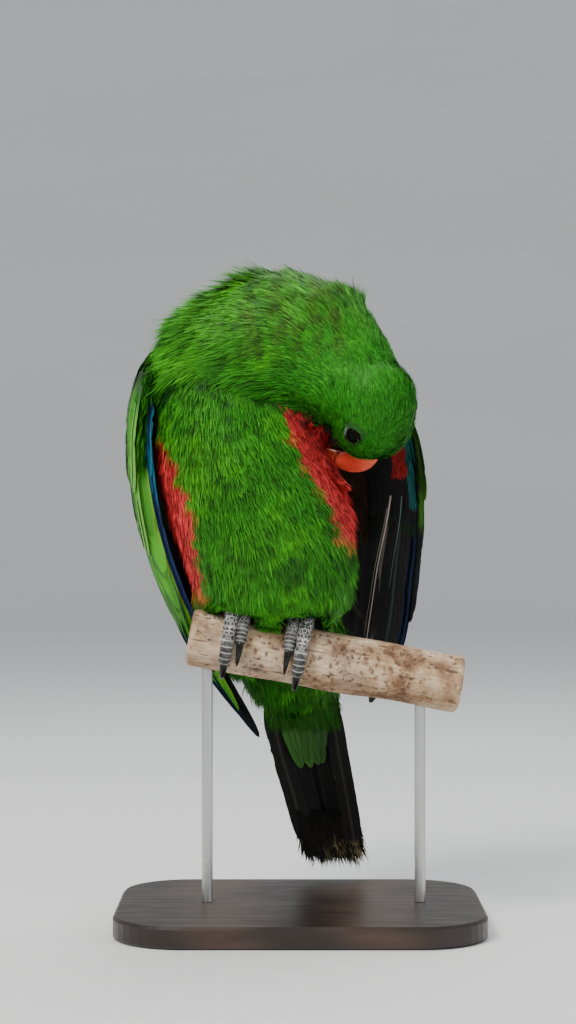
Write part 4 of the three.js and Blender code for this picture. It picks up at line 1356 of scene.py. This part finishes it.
sheet_tufts(
    "tail_tips_below", tail_sheet, ([0.78, 0.1], [0.93, 0.92]), 420, -3.2, frayed, 0.015, 0.0024, 0.08,
    "tail_plumage", inner=True,
)
sheet_tufts(
    "tail_tips_above", tail_sheet, ([0.84, 0.1], [0.93, 0.92]), 300, 3.4, frayed, 0.012, 0.0024, 0.08,
    "tail_plumage",
)


# bill, eyes and feet:
# Each is a round form drawn along a line, with its reach to the side, the front and the back at every
# station, in millimetres.
def loft(stations, reaches, front, rounding, rings=60, around=40, shape=None):
    """Points, faces and places (share along, turn) of a closed form."""
    axis = Spline(stations)
    reach = Spline(np.asarray(reaches, float))
    share = 0.5 - 0.5 * np.cos(np.linspace(0, math.pi, rings + 1))
    turn = np.linspace(0, 2 * math.pi, around, endpoint=False)
    way = unit(axis(np.minimum(share + 0.002, 1)) - axis(np.maximum(share - 0.002, 0)))
    side = unit(np.cross(way, front))
    face = unit(np.cross(side, way))
    first = np.sqrt(1 - (1 - np.clip(share / rounding[0], 0, 1)) ** 2)
    last = np.sqrt(1 - (1 - np.clip((1 - share) / rounding[1], 0, 1)) ** 2)
    cap = np.maximum(first * last, 0.001)[:, None]
    size = reach(share) / 1000
    a, b = share[:, None] + 0 * turn, turn + 0 * share[:, None]
    forward_reach = np.where(np.sin(b) > 0, size[:, 1:2], size[:, 2:3])
    swell = 1 if shape is None else shape(a, b)
    x = np.cos(b) * cap * size[:, 0:1] * swell
    y = np.sin(b) * cap * forward_reach * swell
    points = axis(share)[:, None] + side[:, None] * x[..., None] + face[:, None] * y[..., None]
    return points.reshape(-1, 3), tube_faces(rings, around), np.stack([a, b], -1).reshape(-1, 2)


def combined(*parts):
    """Several lofts as one list of points, faces and places."""
    points, faces, places, base = [], [], [], 0
    for p, f, q in parts:
        points.append(p)
        faces.append(f + base)
        places.append(q)
        base += len(p)
    return np.vstack(points), np.vstack(faces), np.vstack(places)


BILL_UPPER = [(15, -2), (23, -2), (30, -4), (35.5, -11), (36.5, -19), (34, -26)]
BILL_UPPER_REACH = [
    (9.3, 10.5, 10.5), (9, 10.5, 9.5), (7.8, 9, 7.5), (5.8, 6.4, 5), (3.6, 3.8, 3), (1.4, 1.4, 1.2)
]
BILL_LOWER = [(14, -14), (20, -17), (25.5, -20), (29.5, -21.5)]
BILL_LOWER_REACH = [(7.6, 5, 5), (7.2, 4.5, 5), (5.8, 3, 4), (3.5, 1.6, 2)]


def bill_piece(name, line, reach, rounding, colour):
    """One half of the bill, with its colour worked out along its length and round it."""
    p, f, q = loft([in_head(*spot) for spot in line], reach, crownward, rounding, 90, 64)
    return mesh_of(name, p, f, layers=[("Plumage", colour(p, q[:, 0], q[:, 1]))])


def upper_bill_colour(p, a, turn):
    base = np.array([0.74, 0.070, 0.035])
    tip = np.array([0.84, 0.115, 0.055])
    ridge = smoothstep(0.2, 0.9, np.sin(turn))[:, None]
    k = smoothstep(0.45, 0.95, a)[:, None]
    colour = base * (1 - k) + tip * k + ridge * 0.05 * np.array([1, 0.5, 0.1])
    growth = (0.9 + 0.1 * np.sin(a * 120 + 2 * np.sin(turn * 2)))[:, None]
    # The bill darkens towards its base, where it runs in under the face's feathers: painted shade.
    base_shade = smoothstep(0.16, 0.05, a)[:, None] * 0.7
    streak = (0.5 + 0.5 * wobble(p, 0.004, 51))[:, None]
    return (colour * growth * (0.85 + 0.2 * streak)) * (1 - base_shade)


upper_bill = bill_piece("upper_bill", BILL_UPPER, BILL_UPPER_REACH, (0.1, 0.12), upper_bill_colour)
dress(upper_bill, horn, "bill_upper", slot="bill_upper")


def black_bill(p, a, turn):
    return np.tile([0.012, 0.011, 0.012], (len(p), 1)) * (1 + 0.4 * wobble(p, 0.003, 52))[:, None]


lower_bill = bill_piece("lower_bill", BILL_LOWER, BILL_LOWER_REACH, (0.15, 0.2), black_bill)
dress(lower_bill, horn, "bill_lower", slot="bill_lower")

# The eyeball is dark brown round a black pupil, and a ring of bare, wrinkled lid skin holds it.
EYE_RADIUS = 0.0052
eye_material, tree = new_material("eyeball")
tint = stored(tree, "Plumage")
finish_material(tree, Base_Color=tint, Roughness=0.05, Specular_IOR_Level=0.04)
lid_material, tree = new_material("eyelid")
tint = stored(tree, "Plumage")
place = object_place(tree)
folds = node(tree, "ShaderNodeTexVoronoi", {"Vector": place, "Scale": 1500.0})
bump = relief(tree, folds.outputs[0], 0.5, 0.0003)
finish_material(tree, Base_Color=tint, Roughness=0.55, Specular_IOR_Level=0.15, Normal=bump)


def eye_pieces(side, out):
    centre = EYE_AT[side]
    rings, around = 60, 48
    polar = np.linspace(0, math.pi, rings + 1)[:, None]
    turn = np.linspace(0, 2 * math.pi, around, endpoint=False)[None, :]
    offset = (
        np.cos(polar)[..., None] * out
        + (np.sin(polar) * np.cos(turn))[..., None] * forward
        + (np.sin(polar) * np.sin(turn))[..., None] * crownward
    )
    points = (centre + offset * EYE_RADIUS).reshape(-1, 3)
    across = (np.sin(polar) + 0 * turn).ravel()
    spokes = 0.75 + 0.25 * np.sin(np.tile(turn, (rings + 1, 1)).ravel() * 23 + 3 * across)
    iris = np.array([0.012, 0.006, 0.004]) * spokes[:, None]
    pupil = smoothstep(0.66, 0.60, across)[:, None]
    white = smoothstep(0.80, 0.88, across)[:, None]
    colour = iris * (1 - pupil) * (1 - white) + np.array([0.003, 0.003, 0.003]) * pupil
    made = mesh_of("eyeball_" + side, points, tube_faces(rings, around), layers=[("Plumage", colour)])
    dress(made, eye_material, "eye_" + side, slot="eye")
    # The lid: a flattened ring, higher and paler above, drawn in a little at the corners.
    rings, around = 96, 16
    turns = np.linspace(0, 2 * math.pi, rings + 1)[:-1]
    tube = np.linspace(0, 2 * math.pi, around + 1)[:-1]
    a, b = np.meshgrid(turns, tube, indexing="ij")
    reach = 0.0051 + 0.0005 * np.cos(2 * a)
    thick = 0.0009 + 0.0001 * np.sin(9 * a) * np.sin(5 * a)
    radial = np.cos(a)[..., None] * forward + np.sin(a)[..., None] * crownward
    rise = 0.0024 - 0.0005 * np.sin(a)
    ring = (
        centre + radial * (reach + thick * np.cos(b))[..., None]
        + out * (rise + thick * 0.9 * np.sin(b))[..., None]
    )
    faces = np.roll(tube_faces(rings, around, wrap=True)[:, ::-1], 1, axis=1)
    pale = smoothstep(0.35, 0.95, np.cos(a - 3.9))[..., None]
    grey = np.array([0.008, 0.022, 0.006]) * (1 - pale) + np.array([0.20, 0.22, 0.20]) * pale
    grey = grey * np.where(np.cos(b) < -0.3, 0.4, 1.0)[..., None]
    lid = mesh_of("eyelid_" + side, ring.reshape(-1, 3), faces, layers=[("Plumage", grey.reshape(-1, 3))])
    dress(lid, lid_material, slot="head_plumage")


eye_pieces("right", rightward)
eye_pieces("left", -rightward)

# Feet grip the branch with two toes before it and two behind. Pebbled skin turns to cross scutes
# towards the claws.
FOOT_AT = {"right": -36.5, "left": -3.5}
OUTWARD = {"right": -1, "left": 1}
TOES = {
    "inner_front": (-3, -3.6, 96, 6, 3.7, 2.9),
    "outer_front": (3.4, 3.2, 96, -34, 4.3, 3.0),
    "inner_back": (-3, -5, 84, 168, 3.4, 2.7),
    "outer_back": (3.4, 9, 84, 208, 4.0, 2.9),
}
CLAW_LENGTH = 13


def round_perch(x, angle, off):
    turn = math.radians(angle)
    radius = PERCH_RADIUS * 1000 + 0.9 + off
    around = perch_front * math.cos(turn) + perch_up * math.sin(turn)
    return perch_at(0) + (perch_along * x / math.cos(SLOPE) + around * radius) / 1000


def lerp(a, b, k):
    return a + (b - a) * k


def toe(side, root, tip, start, end, thick, thin):
    share = np.linspace(0, 1, 6)
    half = lerp(thick, thin, share) + 0.25 * np.sin(share * math.pi * 5)
    x = FOOT_AT[side] + OUTWARD[side] * lerp(root, tip, share)
    line = [round_perch(x[k], lerp(start, end, share[k]), half[k]) for k in range(6)]

    def scutes(a, b):
        # Bulges at the joints underneath and a step at every scute.
        step = (a * 17) % 1.0
        return 1 + 0.05 * (step - 0.5) + 0.06 * np.sin(a * math.pi * 5) ** 2

    return loft(line, np.stack([half] * 3, -1), perch_along, (0.12, 0.1), 130, 36, scutes)


def claw(side, tip, start, end, thin):
    step = math.degrees(1 / (PERCH_RADIUS * 1000 + 3)) * (1 if end > start else -1)
    shares = np.array([-0.15, 0.2, 0.5, 0.8, 1])
    half = lerp(thin * 0.72, 0.6, np.maximum(shares, 0))
    off = thin + 0.4 + 1.6 * np.sin(math.pi * np.maximum(shares, 0)) - 1.4 * shares
    x = FOOT_AT[side] + OUTWARD[side] * tip
    line = [round_perch(x, end + s * CLAW_LENGTH * step, max(o, h)) for s, o, h in zip(shares, off, half)]
    half = np.maximum(half * np.array([1, 1, 0.95, 0.75, 0.45]), 0.22)
    return loft(line, np.stack([half * 0.8, half, half], -1), perch_along, (0.1, 0.15), 60, 32)


def sole(side):
    line = [round_perch(FOOT_AT[side], angle, 4.2) for angle in (72, 84, 96, 108)]
    return loft(line, [(6.6, 4, 3.6)] * 4, perch_up, (0.3, 0.3), 60, 60)


def shank(side):
    line = [
        round_perch(FOOT_AT[side], angle, off) for angle, off in ((92, 5), (99, 12), (104, 20), (106, 28))
    ]
    reach = [(5.2, 4.6, 4.6), (4.8, 4.4, 4.4), (4.6, 4.4, 4.4), (5.2, 5, 5)]
    return loft(line, reach, perch_along, (0.2, 0.3), 70, 44)


foot_material, tree = new_material("foot_skin")
at = node(tree, "ShaderNodeUVMap", uv_map="Scales").outputs[0]
split = node(tree, "ShaderNodeSeparateXYZ", {"Vector": at})
scute = node(tree, "ShaderNodeAttribute", attribute_name="Scutes").outputs[2]
edges = node(
    tree, "ShaderNodeTexVoronoi", {"Vector": at, "Scale": 1.0, "Randomness": 0.85},
    feature="DISTANCE_TO_EDGE",
)
place = object_place(tree)
smudge = noise(tree, place, 260.0, 5.0)
pebble_dark = ramp(tree, edges.outputs[0], [(0.045, 0.0), (0.09, 1.0)])
bands = math_node(tree, "FRACT", times(tree, split.outputs[1], 0.8))
band_dark = ramp(tree, bands, [(0.0, 0.0), (0.1, 0.0), (0.2, 1.0), (0.94, 1.0), (1.0, 0.2)])
dark = mix_colour(tree, scute, pebble_dark, band_dark)
dark = times(tree, dark, ramp(tree, smudge, [(0.3, 1.0), (0.65, 0.82)]))
skin_tone = ramp(tree, smudge, [(0.3, (0.40, 0.39, 0.37)), (0.7, (0.66, 0.65, 0.61))])
height = mix_colour(
    tree, scute, ramp(tree, edges.outputs[0], [(0.0, 0.0), (0.16, 1.0)]),
    ramp(tree, bands, [(0.0, 0.0), (0.2, 1.0), (0.85, 0.9), (1.0, 0.0)]),
)
bump = relief(tree, height, 0.9, 0.0004)
finish_material(
    tree,
    Base_Color=mix_colour(tree, dark, skin_tone, (0.014, 0.014, 0.015)),
    Specular_IOR_Level=0.3,
    Roughness=ramp(tree, smudge, [(0.3, 0.42), (0.7, 0.62)]),
    Normal=bump,
)
claw_material, tree = new_material("claw_horn")
place = object_place(tree)
wear = noise(tree, place, 380.0, 4.0)
finish_material(
    tree,
    Base_Color=ramp(tree, wear, [(0.4, (0.004, 0.004, 0.004)), (0.75, (0.014, 0.013, 0.012))]),
    Roughness=ramp(tree, wear, [(0.3, 0.24), (0.7, 0.4)]),
    Specular_IOR_Level=0.3,
)
for side in ("right", "left"):
    toes = {name: toe(side, *size) for name, size in TOES.items()}
    parts = [sole(side), *toes.values()]
    p, f, q = combined(*parts)
    number = np.concatenate([np.full(len(part[0]), k) for k, part in enumerate(parts)])
    scute_share = np.where(number == 0, 0, smoothstep(0.5, 0.78, q[:, 0]) * 1.0)
    turn = np.abs(q[:, 1] - math.pi) * 3.4 / 1.8
    scale_uv = np.stack([turn, q[:, 0] * 34 / 1.8 + number * 13.7], -1)
    made = mesh_of("foot_skin_" + side, p, f, layers=[("Scutes", scute_share)], uvs=[("Scales", scale_uv)])
    dress(made, foot_material, "foot_" + side, slot="foot_skin")
    p, f, q = shank(side)
    scale_uv = np.stack([np.abs(q[:, 1] - math.pi) * 3.4, q[:, 0] * 18], -1)
    made = mesh_of("shank_" + side, p, f, layers=[("Scutes", np.zeros(len(p)))], uvs=[("Scales", scale_uv)])
    dress(made, foot_material, "leg_" + side, slot="foot_skin")
    for name, (root, tip, start, end, thick, thin) in TOES.items():
        p, f, q = claw(side, tip, start, end, thin)
        dress(mesh_of(f"claw_horn_{side}_{name}", p, f), claw_material, f"claw_{side}_{name}", slot="claw")
